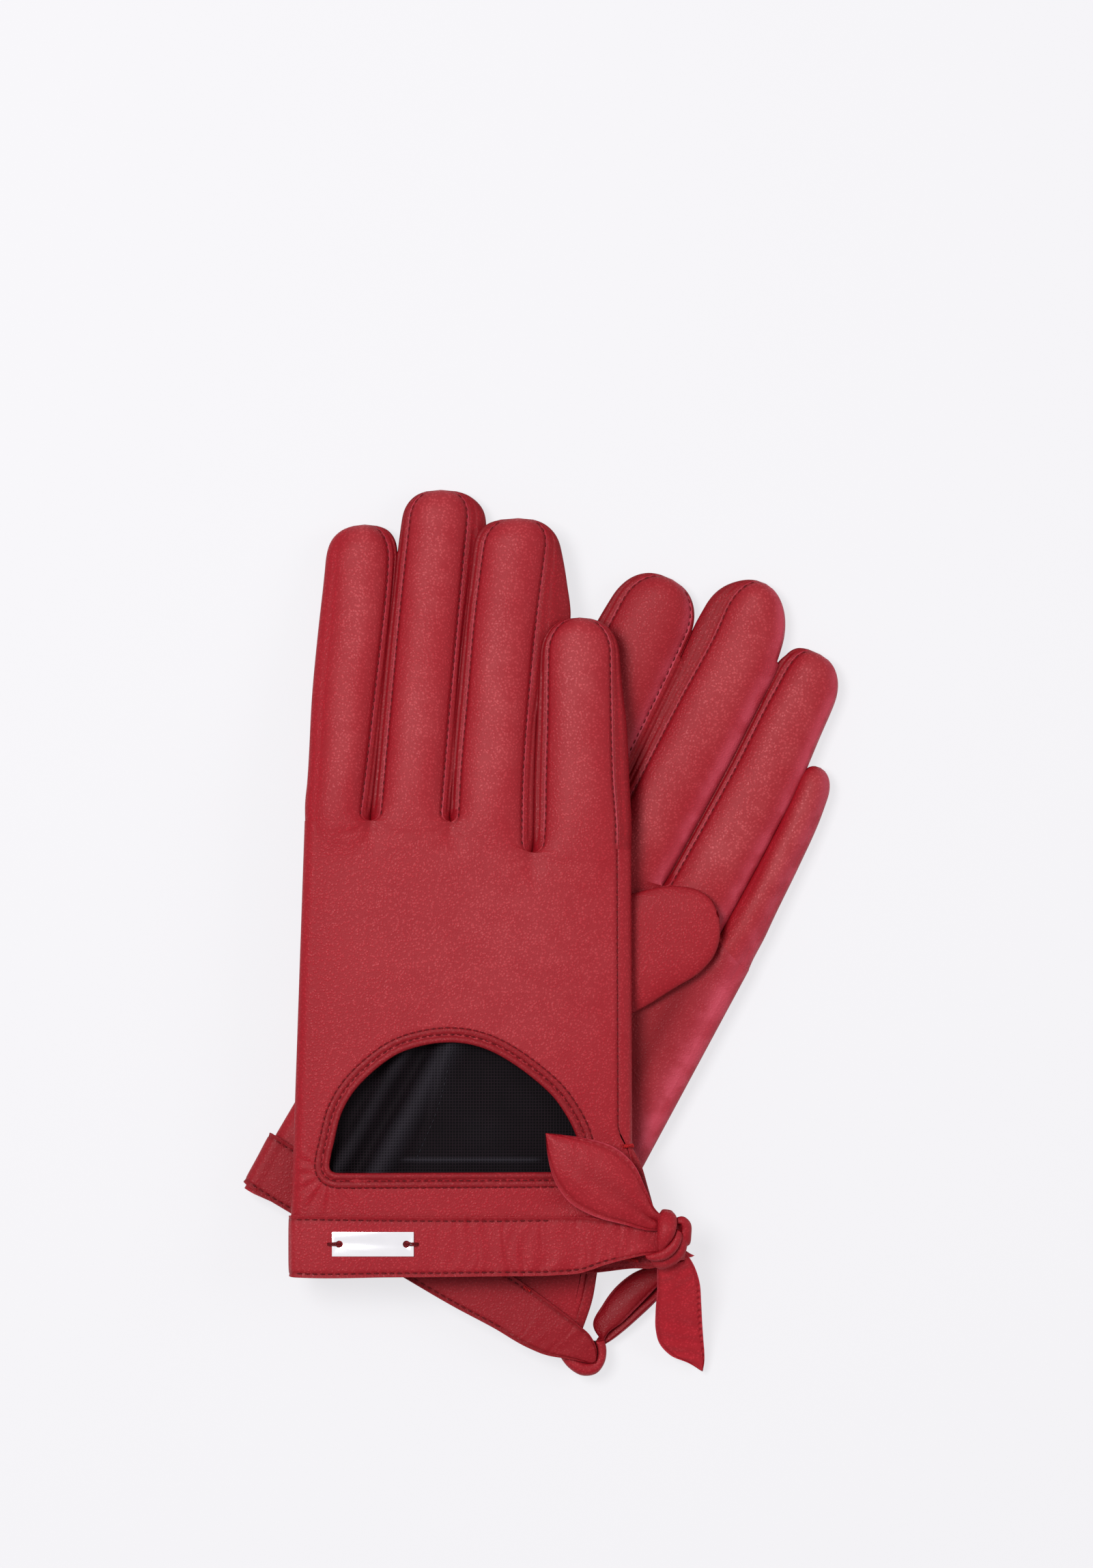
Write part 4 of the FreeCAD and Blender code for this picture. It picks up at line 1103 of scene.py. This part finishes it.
bandShape = {"thick": 1.0, "long": 100, "dim": {"left": 0.38, "right": 0.0}, "seam": 1.15, "seamUp": 0.42,
             "lip": 0.30, "press": 0.14, "pleat": 0.30, "pleatPitch": 5.2, "crease": 0.22, "creasePitch": 9.3,
             "ripple": 0.12, "pitch": 2.05, "stitch": (1.45, 0.5, 0.4)}


def bandRelief(puckered):
    def relief(a, v):
        x = -46 + v * bandShape["long"]
        inside = (1 - np.abs(a)) * 8.0  # about the distance from the edge, in millimetres
        lift = bandShape["lip"] * hump(inside, 0, 0.45) - bandShape["press"] * hump(inside, 1.15, 0.30)
        lift = lift + 0.05 * np.sin(x * 2 * math.pi / 2.0) * hump(inside, 1.1, 0.6)
        fade = (smoothStep(x, puckered[0], puckered[0] + 26)
                * (1 - smoothStep(x, puckered[1], puckered[1] + 9)))
        fan = x - a * 3.4 + 1.6 * np.sin(a * 2.0) + 2.4 * ripple(x, a * 9, 6.0, 1.7)
        some = 0.25 + 0.75 * smoothStep(ripple(x * 0.8, a * 13, 4.6, 4.2), -0.2, 0.6)  # only here and there
        pleats = np.sin(fan * 2 * math.pi / bandShape["pleatPitch"] + 1.4 * np.sin(fan / 3.1))
        lift = lift + bandShape["pleat"] * fade * some * pleats * (0.65 - 0.3 * a)
        creases = hump(np.mod(fan + 2.2 * a, bandShape["creasePitch"]), 4.6, 0.45) * (1 - a ** 4)
        lift = lift - bandShape["crease"] * fade * creases
        lift = lift + bandShape["ripple"] * ripple(x, a * 8, 5.0, 3.1)
        # painted shade in the pressed stitch channel, and darker along the edge
        paintedShading = 0.55 * hump(inside, 1.1, 0.55) + 0.25 * np.exp(-inside / 0.9)
        return lift, paintedShading, 0 * a
    return relief


# each band's two edges from the folded side to the knot, its stitched reach on each edge, and its puckers
bands = {
    ("right", "back"): {
        "low": [(-45.2, 0.4, 3.6), (-45.5, 0.3, 7.0), (-44.7, 0.2, 8.6), (-42.2, 0.1, 8.9), (-20, 0.2, 8.9),
                (10, 0.5, 8.95), (26, 0.8, 8.95), (32.3, 1.4, 8.95), (38.3, 3.4, 8.9), (45.0, 5.2, 8.5),
                (50.0, 6.2, 8.0), (54.6, 6.4, 7.4)],
        "high": [(-45.2, 16.4, 3.6), (-45.5, 16.7, 7.0), (-44.7, 16.9, 8.6), (-42.2, 16.9, 8.9),
                 (-20, 16.6, 8.9), (10, 16.5, 8.95), (26, 16.6, 8.95), (34, 16.4, 8.95), (40, 15.6, 8.85),
                 (46.0, 14.7, 8.4), (50.5, 14.0, 8.0), (54.6, 13.6, 7.4)],
        "rows": ((-44.4, 42.0), (-44.4, 24.0)), "pucker": (-14, 46)},
    ("right", "palm"): {
        "low": [(-46.0, 0.6, 1.6), (-45.6, 0.5, -0.1), (-44.0, 0.4, -0.75), (-41.0, 0.4, -0.8),
                (-34, 0.4, -0.8), (0, 0.3, -0.8), (38, 0.9, -0.8), (46, 1.9, -0.2), (52.5, 2.3, 1.2),
                (54.5, 3.2, 2.0)],
        "high": [(-46.0, 16.2, 1.6), (-45.6, 16.4, -0.1), (-44.0, 16.5, -0.75), (-41.0, 16.5, -0.8),
                 (-34, 16.5, -0.8), (0, 16.5, -0.8), (38, 15.8, -0.8), (46, 13.8, -0.2), (52.5, 10.8, 1.2),
                 (54.5, 9.4, 2.0)],
        "rows": ((-44.0, 40.0), (-44.0, 40.0)), "pucker": (20, 46)},
    ("left", "palm"): {
        "low": [(-46.3, 3.6, 4.0), (-46.4, 3.5, 7.6), (-45.4, 3.3, 8.6), (-42.0, 2.9, 8.8), (-32.3, 2.4, 8.8),
                (2.2, 1.7, 8.85), (19.5, 1.2, 8.85), (31.3, 1.3, 8.8), (41.3, 1.0, 8.9), (47.0, 1.6, 8.2),
                (52.5, 3.4, 7.4), (56.5, 4.6, 6.8), (59.6, 5.6, 6.0)],
        "high": [(-46.3, 18.6, 4.0), (-46.4, 18.8, 7.6), (-45.4, 18.9, 8.6), (-42.0, 18.7, 8.8),
                 (-30.0, 18.2, 8.8), (0, 17.2, 8.85), (26.4, 16.3, 8.85), (33.2, 15.7, 8.8),
                 (42.2, 14.5, 8.6), (50.3, 13.1, 8.4), (55.1, 11.9, 7.6), (58.0, 9.8, 6.9), (59.9, 6.4, 6.0)],
        "rows": ((-45.0, 33.0), (-45.0, 34.0)), "pucker": (20, 46)},
    ("left", "back"): {
        "low": [(-45.6, 3.0, 1.0), (-45.2, 2.9, -0.2), (-43.6, 2.8, -0.65), (-40, 2.8, -0.7),
                (-32, 2.7, -0.7), (0, 2.4, -0.7), (38, 2.2, -0.7), (46, 2.8, -0.5), (54.5, 4.2, 0.4)],
        "high": [(-45.6, 16.2, 1.0), (-45.2, 16.4, -0.2), (-43.6, 16.5, -0.65), (-40, 16.5, -0.7),
                 (-32, 16.5, -0.7), (0, 16.5, -0.7), (38, 15.8, -0.7), (46, 13.8, -0.5), (54.5, 9.6, 0.4)],
        "rows": ((-44.0, 40.0), (-44.0, 40.0)), "pucker": (20, 46)},
}


def makeBand(side, face):
    band = bands[side, face]
    makeBlade(f"{side}_{face}_strap", side, band["low"], band["high"], bandShape["thick"],
              bandRelief(band["pucker"]), leather, 60, 300, 0.5, (0.004, 0.02),
              replaced=(f"{side}_{face}_band",), dim=bandShape["dim"][side])
    up = 1.0 if face == gloves[side]["top"] else -1.0
    for number, (edge, other, reach) in enumerate(((band["low"], band["high"], band["rows"][0]),
                                                   (band["high"], band["low"], band["rows"][1]))):
        edge, other = openLine(edge, 400), openLine(other, 400)
        line = edge + unit(other - edge) * bandShape["seam"] + np.array((0, 0, bandShape["seamUp"] * up))
        keep = (line[:, 0] > reach[0]) & (line[:, 0] < reach[1])
        row = makeStitches(f"{side}_{face}_strap_stitching_{number}", side, line[keep],
                           np.tile((0, 0, up), (keep.sum(), 1)), bandShape["pitch"], bandShape["stitch"])
        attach(row, gloves[side]["body"])


plate = {"long": 22.0, "wide": 6.6, "thick": 0.8, "edge": 0.14, "hole": 0.9, "inset": 2.0,
         "middle": (-23.5, 9.2), "onBack": 9.4, "underBack": -1.8, "thread": 0.46, "threadReach": 11.6}


# a bright flat plate with crisp corners and a hole near each short end
def makePlate(side):
    base = plate["onBack"] if gloves[side]["top"] == "back" else plate["underBack"]
    centre = inFrame(side, np.array([(*plate["middle"], base + plate["thick"] / 2)]))[0]
    turn = math.radians(gloves[side]["turn"])
    bpy.ops.mesh.primitive_cube_add(size=1)
    piece = bpy.context.object
    piece.name = piece.data.name = f"{side}_name_plate"
    bpy.ops.object.mode_set(mode="EDIT")
    bpy.ops.transform.resize(value=(plate["long"] * mm, plate["wide"] * mm, plate["thick"] * mm))
    bpy.ops.object.mode_set(mode="OBJECT")
    for end in (-1, 1):
        bpy.ops.mesh.primitive_cylinder_add(vertices=40, radius=plate["hole"] * mm, depth=4 * mm,
                                            location=(end * (plate["long"] / 2 - plate["inset"]) * mm, 0, 0))
        drill = bpy.context.object
        hole = piece.modifiers.new("hole", "BOOLEAN")
        hole.object, hole.operation, hole.solver = drill, "DIFFERENCE", "EXACT"
        bpy.context.view_layer.objects.active = piece
        bpy.ops.object.modifier_apply(modifier=hole.name)
        bpy.data.objects.remove(drill)
    soften = piece.modifiers.new("edges", "BEVEL")
    soften.width, soften.segments, soften.limit_method = plate["edge"] * mm, 3, "ANGLE"
    bpy.ops.object.modifier_apply(modifier=soften.name)
    co = np.empty(len(piece.data.vertices) * 3)
    piece.data.vertices.foreach_get("co", co)
    x, y, z = co.reshape(-1, 3).T
    co = (np.stack([x * math.cos(turn) - y * math.sin(turn), x * math.sin(turn) + y * math.cos(turn), z], -1)
          + centre)
    piece.data.vertices.foreach_set("co", co.ravel())
    bpy.ops.object.select_all(action="DESELECT")
    piece.select_set(True)
    bpy.context.view_layer.objects.active = piece
    bpy.ops.object.shade_smooth_by_angle(angle=math.radians(25))
    dress(piece, metal)
    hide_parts(f"{side}_plate")
    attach(piece, gloves[side]["body"])
    bpy.ops.object.select_all(action="DESELECT")


# a doubled thread from each hole out over the plate's short end
def makePlateThread(side):
    onTop = gloves[side]["top"] == "back"
    up = 1 if onTop else -1
    ground = plate["onBack"] if onTop else plate["underBack"] + plate["thick"]
    x0, y0 = plate["middle"]
    parts = []
    for end in (-1, 1):
        hole, rim = x0 + end * (plate["long"] / 2 - plate["inset"]), x0 + end * plate["threadReach"]
        for shift in (-0.28, 0.28):
            spine = np.array([(hole - end * 0.55, y0 + shift, ground - up * 0.4),
                              (hole - end * 0.3, y0 + shift, ground + up * 0.7),
                              (hole + end * 0.6, y0 + shift, ground + up * 1.15),
                              (rim - end * 0.5, y0 + shift * 0.9, ground + up * 1.1),
                              (rim + end * 0.35, y0 + shift * 0.7, ground + up * 0.55),
                              (rim + end * 0.6, y0 + shift * 0.5, ground - up * 0.3)])
            wide = np.array((0, 0.24, 0))
            parts.append(makeBlade(f"{side}_plate_loop", side, spine - wide, spine + wide, plate["thread"],
                                   None, thread, 12, 40, 1.0, (0.05, 0.05), "red_thread"))
    piece = joined(f"{side}_plate_loops", parts)
    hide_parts(f"{side}_plate_thread")
    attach(piece, gloves[side]["body"])


def leafRelief(bulge, crease, lip=0.45, wrinkles=0.0):
    def relief(a, v):
        arch = np.sin(math.pi * np.clip(v, 0, 1))
        lift = bulge * arch * (1 - a ** 2) + edgeLip(a, lip, 0.045, 0.13) * smoothStep(v, 0, 0.08)
        lift = lift - crease * hump(a, 0.05, 0.10) * (1 - smoothStep(v, 0.45, 0.9))
        lift = (lift + wrinkles * np.sin(v * 60 + 2.2 * a + 1.5 * np.sin(a * 3)) * np.exp(-v / 0.16)
                * (1 - a ** 2))
        lift = lift + 0.16 * ripple(v * 40, a * 9, 4.0, 2.0)
        lift = (lift + wrinkles * 0.35 * np.sin(v * 34 - a * 4.5 + 2 * np.sin(v * 9)) * (1 - a ** 2)
                * smoothStep(v, 0.1, 0.3))
        lift = lift + wrinkles * 0.5 * np.sin(v * 120) * hump(a, 0.92, 0.08) * smoothStep(v, 0.2, 0.4)
        near = 1 - np.abs(a)
        # painted shade in the lip's valley and the crease, and a painted highlight along the rim
        paintedShading = 0.35 * hump(near, 0.12, 0.08) + 0.5 * crease * hump(a, 0.05, 0.16) * (1 - v)
        return lift, np.clip(paintedShading, 0, 1), 0.45 * hump(near, 0, 0.05)
    return relief


def smoothPuff(amount):
    def relief(a, v):
        lift = amount * (1 - a ** 2) * np.sin(math.pi * np.clip(v, 0.02, 0.98))
        # painted shade towards the turned sides
        return lift, 0.25 * np.abs(a) ** 3, 0 * a
    return relief


# straps of each knot: two edges as (x, y, z) from end to end, and how thick and how puffed they are
knots = {
    "right": [
        ("core", [(52.4, 16.4, 4.4), (52.6, 10.0, 4.6), (53.0, 3.4, 4.2)],
         [(60.6, 15.6, 4.0), (61.0, 10.0, 4.4), (60.2, 4.4, 4.0)], 5.6, 0.6),
        ("loop", [(57.6, 15.9, 7.0), (59.6, 16.4, 7.2), (61.6, 14.8, 6.6), (61.9, 11.6, 6.2),
                  (61.3, 8.7, 5.8), (59.2, 8.3, 5.6)],
         [(57.7, 14.6, 8.4), (59.2, 14.5, 8.6), (59.5, 13.4, 8.2), (59.2, 11.6, 8.0), (58.9, 10.6, 7.6),
          (58.2, 10.0, 7.2)], 1.1, 0.5),
        ("under", [(60.2, 12.0, 6.2), (60.6, 8.4, 6.0), (59.6, 5.4, 5.6), (56.8, 3.2, 5.2), (53.6, 2.2, 4.6),
                   (51.4, 4.0, 4.4)],
         [(58.6, 12.6, 8.2), (58.6, 9.2, 8.2), (57.4, 7.2, 8.0), (55.2, 5.8, 7.6), (52.9, 5.1, 7.2),
          (50.6, 5.4, 6.6)], 1.3, 0.7),
        ("cross", [(59.3, 12.4, 8.0), (59.0, 9.8, 8.6), (57.8, 7.4, 8.6), (55.4, 5.3, 8.4), (52.4, 4.6, 8.0),
                   (49.9, 5.2, 7.6)],
         [(57.9, 13.2, 9.2), (57.2, 10.9, 9.9), (55.7, 8.9, 10.0), (53.6, 7.4, 9.6), (51.8, 6.7, 9.0),
          (49.5, 6.1, 8.4)], 1.3, 0.7),
        ("front", [(53.9, 17.9, 6.4), (53.0, 16.6, 8.6), (52.8, 13.6, 10.2), (52.7, 10.6, 10.2),
                   (52.8, 8.2, 9.2), (53.0, 6.9, 8.0)],
         [(57.0, 17.5, 6.6), (58.0, 16.2, 8.8), (57.9, 13.6, 10.4), (57.2, 11.2, 10.3), (55.4, 8.8, 9.4),
          (53.9, 7.3, 8.2)], 1.4, 0.9),
    ],
    "left": [
        ("core", [(53.0, 9.5, 2.0), (55.0, 6.5, 2.2), (56.0, 3.6, 2.0)],
         [(58.6, 11.2, 2.0), (60.0, 7.6, 2.2), (59.8, 4.2, 2.0)], 4.2, 0.5),
        ("round", [(50.6, 2.9, 4.6), (54.4, 1.3, 4.4), (58.6, 1.2, 4.2), (61.5, 3.4, 4.0), (62.0, 7.0, 4.0),
                   (60.9, 10.2, 4.2), (59.0, 12.6, 4.6)],
         [(51.4, 5.0, 6.0), (55.0, 4.4, 6.0), (57.8, 4.7, 5.6), (59.2, 6.0, 5.4), (59.4, 7.6, 5.4),
          (58.7, 9.2, 5.6), (57.2, 11.2, 6.0)], 1.5, 1.0),
    ],
}


def makeKnot(side):
    parts = [makeBlade(f"{side}_knot_{name}", side, first, second, thick, smoothPuff(puff), leather, 28, 60,
                       0.8, (0.08, 0.08))
             for name, first, second, thick, puff in knots[side]]
    piece = joined(f"{side}_knot_straps", parts)
    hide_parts(f"{side}_knot")
    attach(piece, gloves[side]["body"])


tieShape = {"thick": 0.8, "square": 0.5, "ends": (0.02, 0.012)}
# each tie: its two edges from the knot to the tip, and how it bulges, creases, lips and wrinkles
tails = {
    "right": {
        "right_leaf": {
            "first": [(54.4, 12.8, 8.6), (50.0, 13.0, 9.8), (44.0, 14.5, 10.7), (35.5, 16.9, 11.0),
                      (29.1, 20.6, 11.2), (25.4, 25.8, 11.2), (23.4, 33.1, 11.0), (22.8, 39.0, 10.9)],
            "second": [(54.2, 16.6, 9.0), (52.2, 18.6, 10.0), (49.9, 23.6, 10.9), (46.2, 31.1, 11.4),
                       (40.9, 35.5, 11.5), (34.0, 37.6, 11.5), (27.5, 38.6, 11.2), (22.9, 39.1, 10.9)],
            "relief": (2.0, 1.1, 0.5, 0.2), "rows": (60, 140), "stands": "right_back_tail",
            "moves": ("right_back_tail", ((51.0, 15.8, 10.0), (44.5, 20.8, 10.0)))},
        "right_hanging_tail": {
            "first": [(53.6, 6.0, 5.0), (52.9, 2.6, 3.0), (52.9, -3.5, -0.8), (52.5, -10.0, -4.2),
                      (52.6, -15.0, -6.8), (53.6, -18.8, -8.6), (56.7, -22.2, -10.2), (61.8, -24.5, -11.0),
                      (65.3, -26.8, -11.4)],
            "second": [(60.6, 6.6, 4.2), (62.4, 3.8, 2.6), (64.3, -1.5, -0.6), (64.9, -8.0, -3.6),
                       (65.2, -13.0, -6.2), (65.6, -18.0, -8.4), (65.9, -21.7, -9.8), (65.9, -24.2, -10.8),
                       (65.5, -26.7, -11.4)],
            "relief": (0.5, 0.35, 0.35, 0.60), "rows": (60, 140), "stands": "right_free_tail",
            "leather": tieLeather,
            "moves": ("right_free_tail", ((58.6, 3.0, 2.0), (58.9, -5.0, -2.0)))},
    },
    "left": {
        "left_leaf": {
            "first": [(58.2, 12.0, 2.4), (54.8, 14.4, 1.8), (54.5, 20.5, 1.2), (55.5, 26.7, 0.9),
                      (57.5, 31.5, 0.9), (61.9, 36.8, 1.0), (66.4, 42.0, 1.0)],
            "second": [(59.4, 11.0, 2.8), (59.3, 14.2, 3.2), (61.2, 18.6, 3.4), (62.8, 23.8, 3.4),
                       (64.4, 29.5, 3.2), (66.0, 35.6, 2.6), (66.6, 42.0, 1.2)],
            "relief": (1.4, 0.9, 0.45, 0.15), "rows": (50, 120), "stands": "left_free_tail", "dim": 0.72},
        "left_second_leaf": {
            "first": [(57.4, 11.4, 2.0), (57.9, 13.4, 1.0), (59.6, 18.5, 0.4), (61.4, 24.4, 0.2),
                      (64.4, 29.3, 0.2), (66.4, 35.0, 0.2), (68.6, 40.0, 0.2)],
            "second": [(59.6, 10.6, 2.4), (60.6, 12.2, 2.2), (62.9, 17.3, 2.6), (65.0, 23.0, 2.6),
                       (66.8, 29.0, 2.2), (68.2, 34.6, 1.4), (68.8, 39.8, 0.5)],
            "relief": (0.5, 0.2), "rows": (50, 120), "stands": "left_back_tail", "dim": 0.6},
    },
}
strayTip = {"first": [(60.4, 5.6, 3.6), (61.8, 5.2, 3.4), (62.8, 5.6, 3.2)],
            "second": [(60.6, 7.0, 3.8), (61.8, 6.2, 3.5), (62.8, 5.7, 3.2)], "thick": 0.7}


def makeTails(side):
    for name, tail in tails[side].items():
        body, bend = tail.get("moves", (None, None))
        makeBlade(name, side, tail["first"], tail["second"], tieShape["thick"], leafRelief(*tail["relief"]),
                  tail.get("leather", leather), *tail["rows"], tieShape["square"], tieShape["ends"],
                  body=body, replaced=(tail["stands"],), dim=tail.get("dim", 0.0), bend=bend)
    if side == "right":  # the band's corner that sticks out behind the knot
        makeBlade("right_stray_tip", side, strayTip["first"], strayTip["second"], strayTip["thick"], None,
                  leather, 16, 20, 0.8, (0.1, 0.1))


def thumbRelief(a, v):
    lift = 0.20 * ripple(v * 76, a * 12, 7.0, 5.0) * (1 - a ** 2)
    # painted shade at the edges, where it turns down
    return lift, 0.35 * np.abs(a) ** 6, 0 * a


thumbs = {
    "left": {
        "first": [(-32.0, 86.0, 10.0), (-20.0, 96.5, 10.6), (-6.0, 109.5, 10.7), (7.9, 122.1, 10.8),
                  (12.7, 126.6, 10.8), (18.0, 130.0, 10.8), (23.2, 131.6, 10.7), (27.0, 131.2, 10.6),
                  (30.4, 129.0, 10.5)],
        "second": [(-14.0, 64.0, 10.0), (-2.0, 72.5, 10.6), (10.0, 82.0, 10.7), (23.2, 93.8, 10.8),
                   (30.2, 105.3, 10.8), (34.4, 113.0, 10.8), (35.4, 118.6, 10.7), (34.6, 122.8, 10.6),
                   (31.6, 128.0, 10.5)],
        "thick": 4.0, "rows": (64, 120), "ends": (0.06, 0.10)},
    "right": {
        "first": [(-42.0, 46.0, -1.6), (-41.0, 70.0, -1.9), (-39.5, 95.0, -1.9), (-38.0, 110.0, -1.9),
                  (-34.0, 118.0, -1.9), (-29.5, 120.0, -1.9)],
        "second": [(-16.0, 44.0, -1.6), (-15.0, 68.0, -1.9), (-16.5, 93.0, -1.9), (-19.0, 110.0, -1.9),
                   (-23.5, 118.0, -1.9), (-27.5, 120.0, -1.9)],
        "thick": 3.6, "rows": (48, 90), "ends": (0.06, 0.08)},
}


def makeThumbs():
    for side, thumb in thumbs.items():
        makeBlade(f"{side}_thumb_skin", side, thumb["first"], thumb["second"], thumb["thick"], thumbRelief,
                  leather, *thumb["rows"], 0.72, thumb["ends"], replaced=(f"{side}_thumb",))


vents = {
    "right": {"first": [(44.6, 36.0, 5.0), (45.4, 30.0, 5.0), (47.0, 22.0, 4.6), (49.0, 16.0, 4.2)],
              "second": [(45.2, 36.2, 6.0), (48.2, 31.0, 6.2), (50.4, 24.0, 5.8), (52.6, 16.0, 5.0)],
              "puff": 0.3},
    "left": {"first": [(44.2, 38.0, 6.6), (45.6, 28.5, 6.8), (48.2, 20.0, 6.6), (49.6, 13.0, 6.2),
                       (50.2, 9.0, 5.4)],
             "second": [(45.6, 38.2, 5.6), (48.4, 28.5, 5.6), (51.2, 20.0, 5.4), (52.4, 13.3, 5.2),
                        (53.0, 9.0, 4.8)],
             "puff": 0.2},
}


def makeVents():
    for side, vent in vents.items():
        makeBlade(f"{side}_vent_fold", side, vent["first"], vent["second"], 0.9, smoothPuff(vent["puff"]),
                  rollLeather, 24, 50)


# a bar tack: close satin stitches side by side
def makeTack(name, side, middle, along, length, wide):
    along = np.array(along, float) / np.linalg.norm(along)
    count = 24
    steps = np.linspace(-length / 2, length / 2, count)
    line = np.array(middle) + steps[:, None] * np.array((along[0], along[1], 0))
    piece = makeStitches(name, side, line, np.tile((0, 0, 1.0), (count, 1)), 0.42, (0.5, wide, 0.45),
                         brightThread, tilt=14)
    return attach(piece, gloves[side]["body"])


for side in gloves:
    makeBinding(side)
    makeLining(side)
    for face in ("back", "palm"):
        makeBand(side, face)
    makePlate(side)
    makePlateThread(side)
    makeKnot(side)
    makeTails(side)
makeThumbs()
makeVents()
for name, middle, along, length, wide in (("right_vent_tack", (44.9, 35.4, 7.6), (1, 0.1), 3.2, 1.4),
                                          ("right_band_tack", (45.6, 4.6, 3.4), (1, -0.1), 4.4, 1.6),
                                          ("left_band_tack", (34.0, 14.9, 9.9), (1, -0.1), 2.2, 1.0)):
    makeTack(name, name.split("_")[0], middle, along, length, wide)
print("trims made")


stage = {"floor": 6.0, "height": 422.5, "aim": (2.2, 39.6, 15.0), "distance": 1700.0, "lens": 24.0,
         "floorShade": (0.925, 0.915, 0.940, 1), "floorSeen": (0.905, 0.896, 0.922, 1), "seenShare": 0.80,
         "sky": (1.0, 0.99, 1.0, 1), "skyStrength": 0.30, "backdrop": (0.925, 0.915, 0.942, 1)}

floorLook = Look(bpy.data.materials.new("pale_floor"))
seen = floorLook.node("ShaderNodeLightPath")["Is Camera Ray"]
plain = floorLook.node("ShaderNodeBsdfDiffuse", {}, {"Color": stage["floorShade"]})["BSDF"]
bright = floorLook.node("ShaderNodeEmission", {}, {"Color": stage["floorSeen"], "Strength": 1.0})["Emission"]
shownFloor = floorLook.finish(floorLook.node("ShaderNodeMixShader", {},
                                             {0: seen * stage["seenShare"], 1: plain, 2: bright})["Shader"])
bpy.ops.mesh.primitive_plane_add(size=stage["floor"], location=(0, 0, 0))
floor = bpy.context.object
floor.name = "floor"
floor.data.materials.append(shownFloor)

# soft light from all round, and plain white where the camera, a reflection or glass looks
sky = Look(bpy.data.worlds.new("studio"))
rays = sky.node("ShaderNodeLightPath")
soft = sky.node("ShaderNodeBackground", {},
                {"Color": stage["sky"], "Strength": stage["skyStrength"]})["Background"]
white = sky.node("ShaderNodeBackground", {}, {"Color": stage["backdrop"]})["Background"]
glassy = sky.sum("MAXIMUM", rays["Is Transmission Ray"], rays["Is Glossy Ray"])
either = sky.sum("MAXIMUM", rays["Is Camera Ray"], glassy)
chosen = sky.node("ShaderNodeMixShader", {}, {0: either, 1: soft, 2: white})["Shader"]
bpy.context.scene.world = sky.finish(chosen, "ShaderNodeOutputWorld")


lamps = {
    "key_lamp": {"spot": (-420, 260, 1150), "size": 0.45, "power": 12.0},
    "fill_lamp": {"spot": (1000, 200, 800), "size": 0.6, "power": 3.0},
}
lampAim = Vector((0, 40, 0)) * mm
for name, sizes in lamps.items():
    bpy.ops.object.light_add(type="AREA", location=[c * mm for c in sizes["spot"]])
    lamp = bpy.context.object
    lamp.name = name
    lamp.data.shape, lamp.data.size, lamp.data.energy = "SQUARE", sizes["size"], sizes["power"]
    lamp.rotation_euler = (lampAim - lamp.location).to_track_quat("-Z", "Y").to_euler()

bpy.ops.object.camera_add()
viewer = bpy.context.object
viewer.name = "camera"
viewer.data.sensor_fit = "VERTICAL"
viewer.data.sensor_height = stage["lens"]
viewer.data.lens = stage["lens"] * stage["distance"] / stage["height"]
aim = Vector(stage["aim"]) * mm
viewer.location = aim + Vector((0, 0, stage["distance"] * mm))
viewer.rotation_euler = (0, 0, 0)
bpy.context.scene.camera = viewer
bpy.context.scene.view_settings.view_transform = "Standard"
bpy.ops.object.select_all(action="DESELECT")
print("stage made")
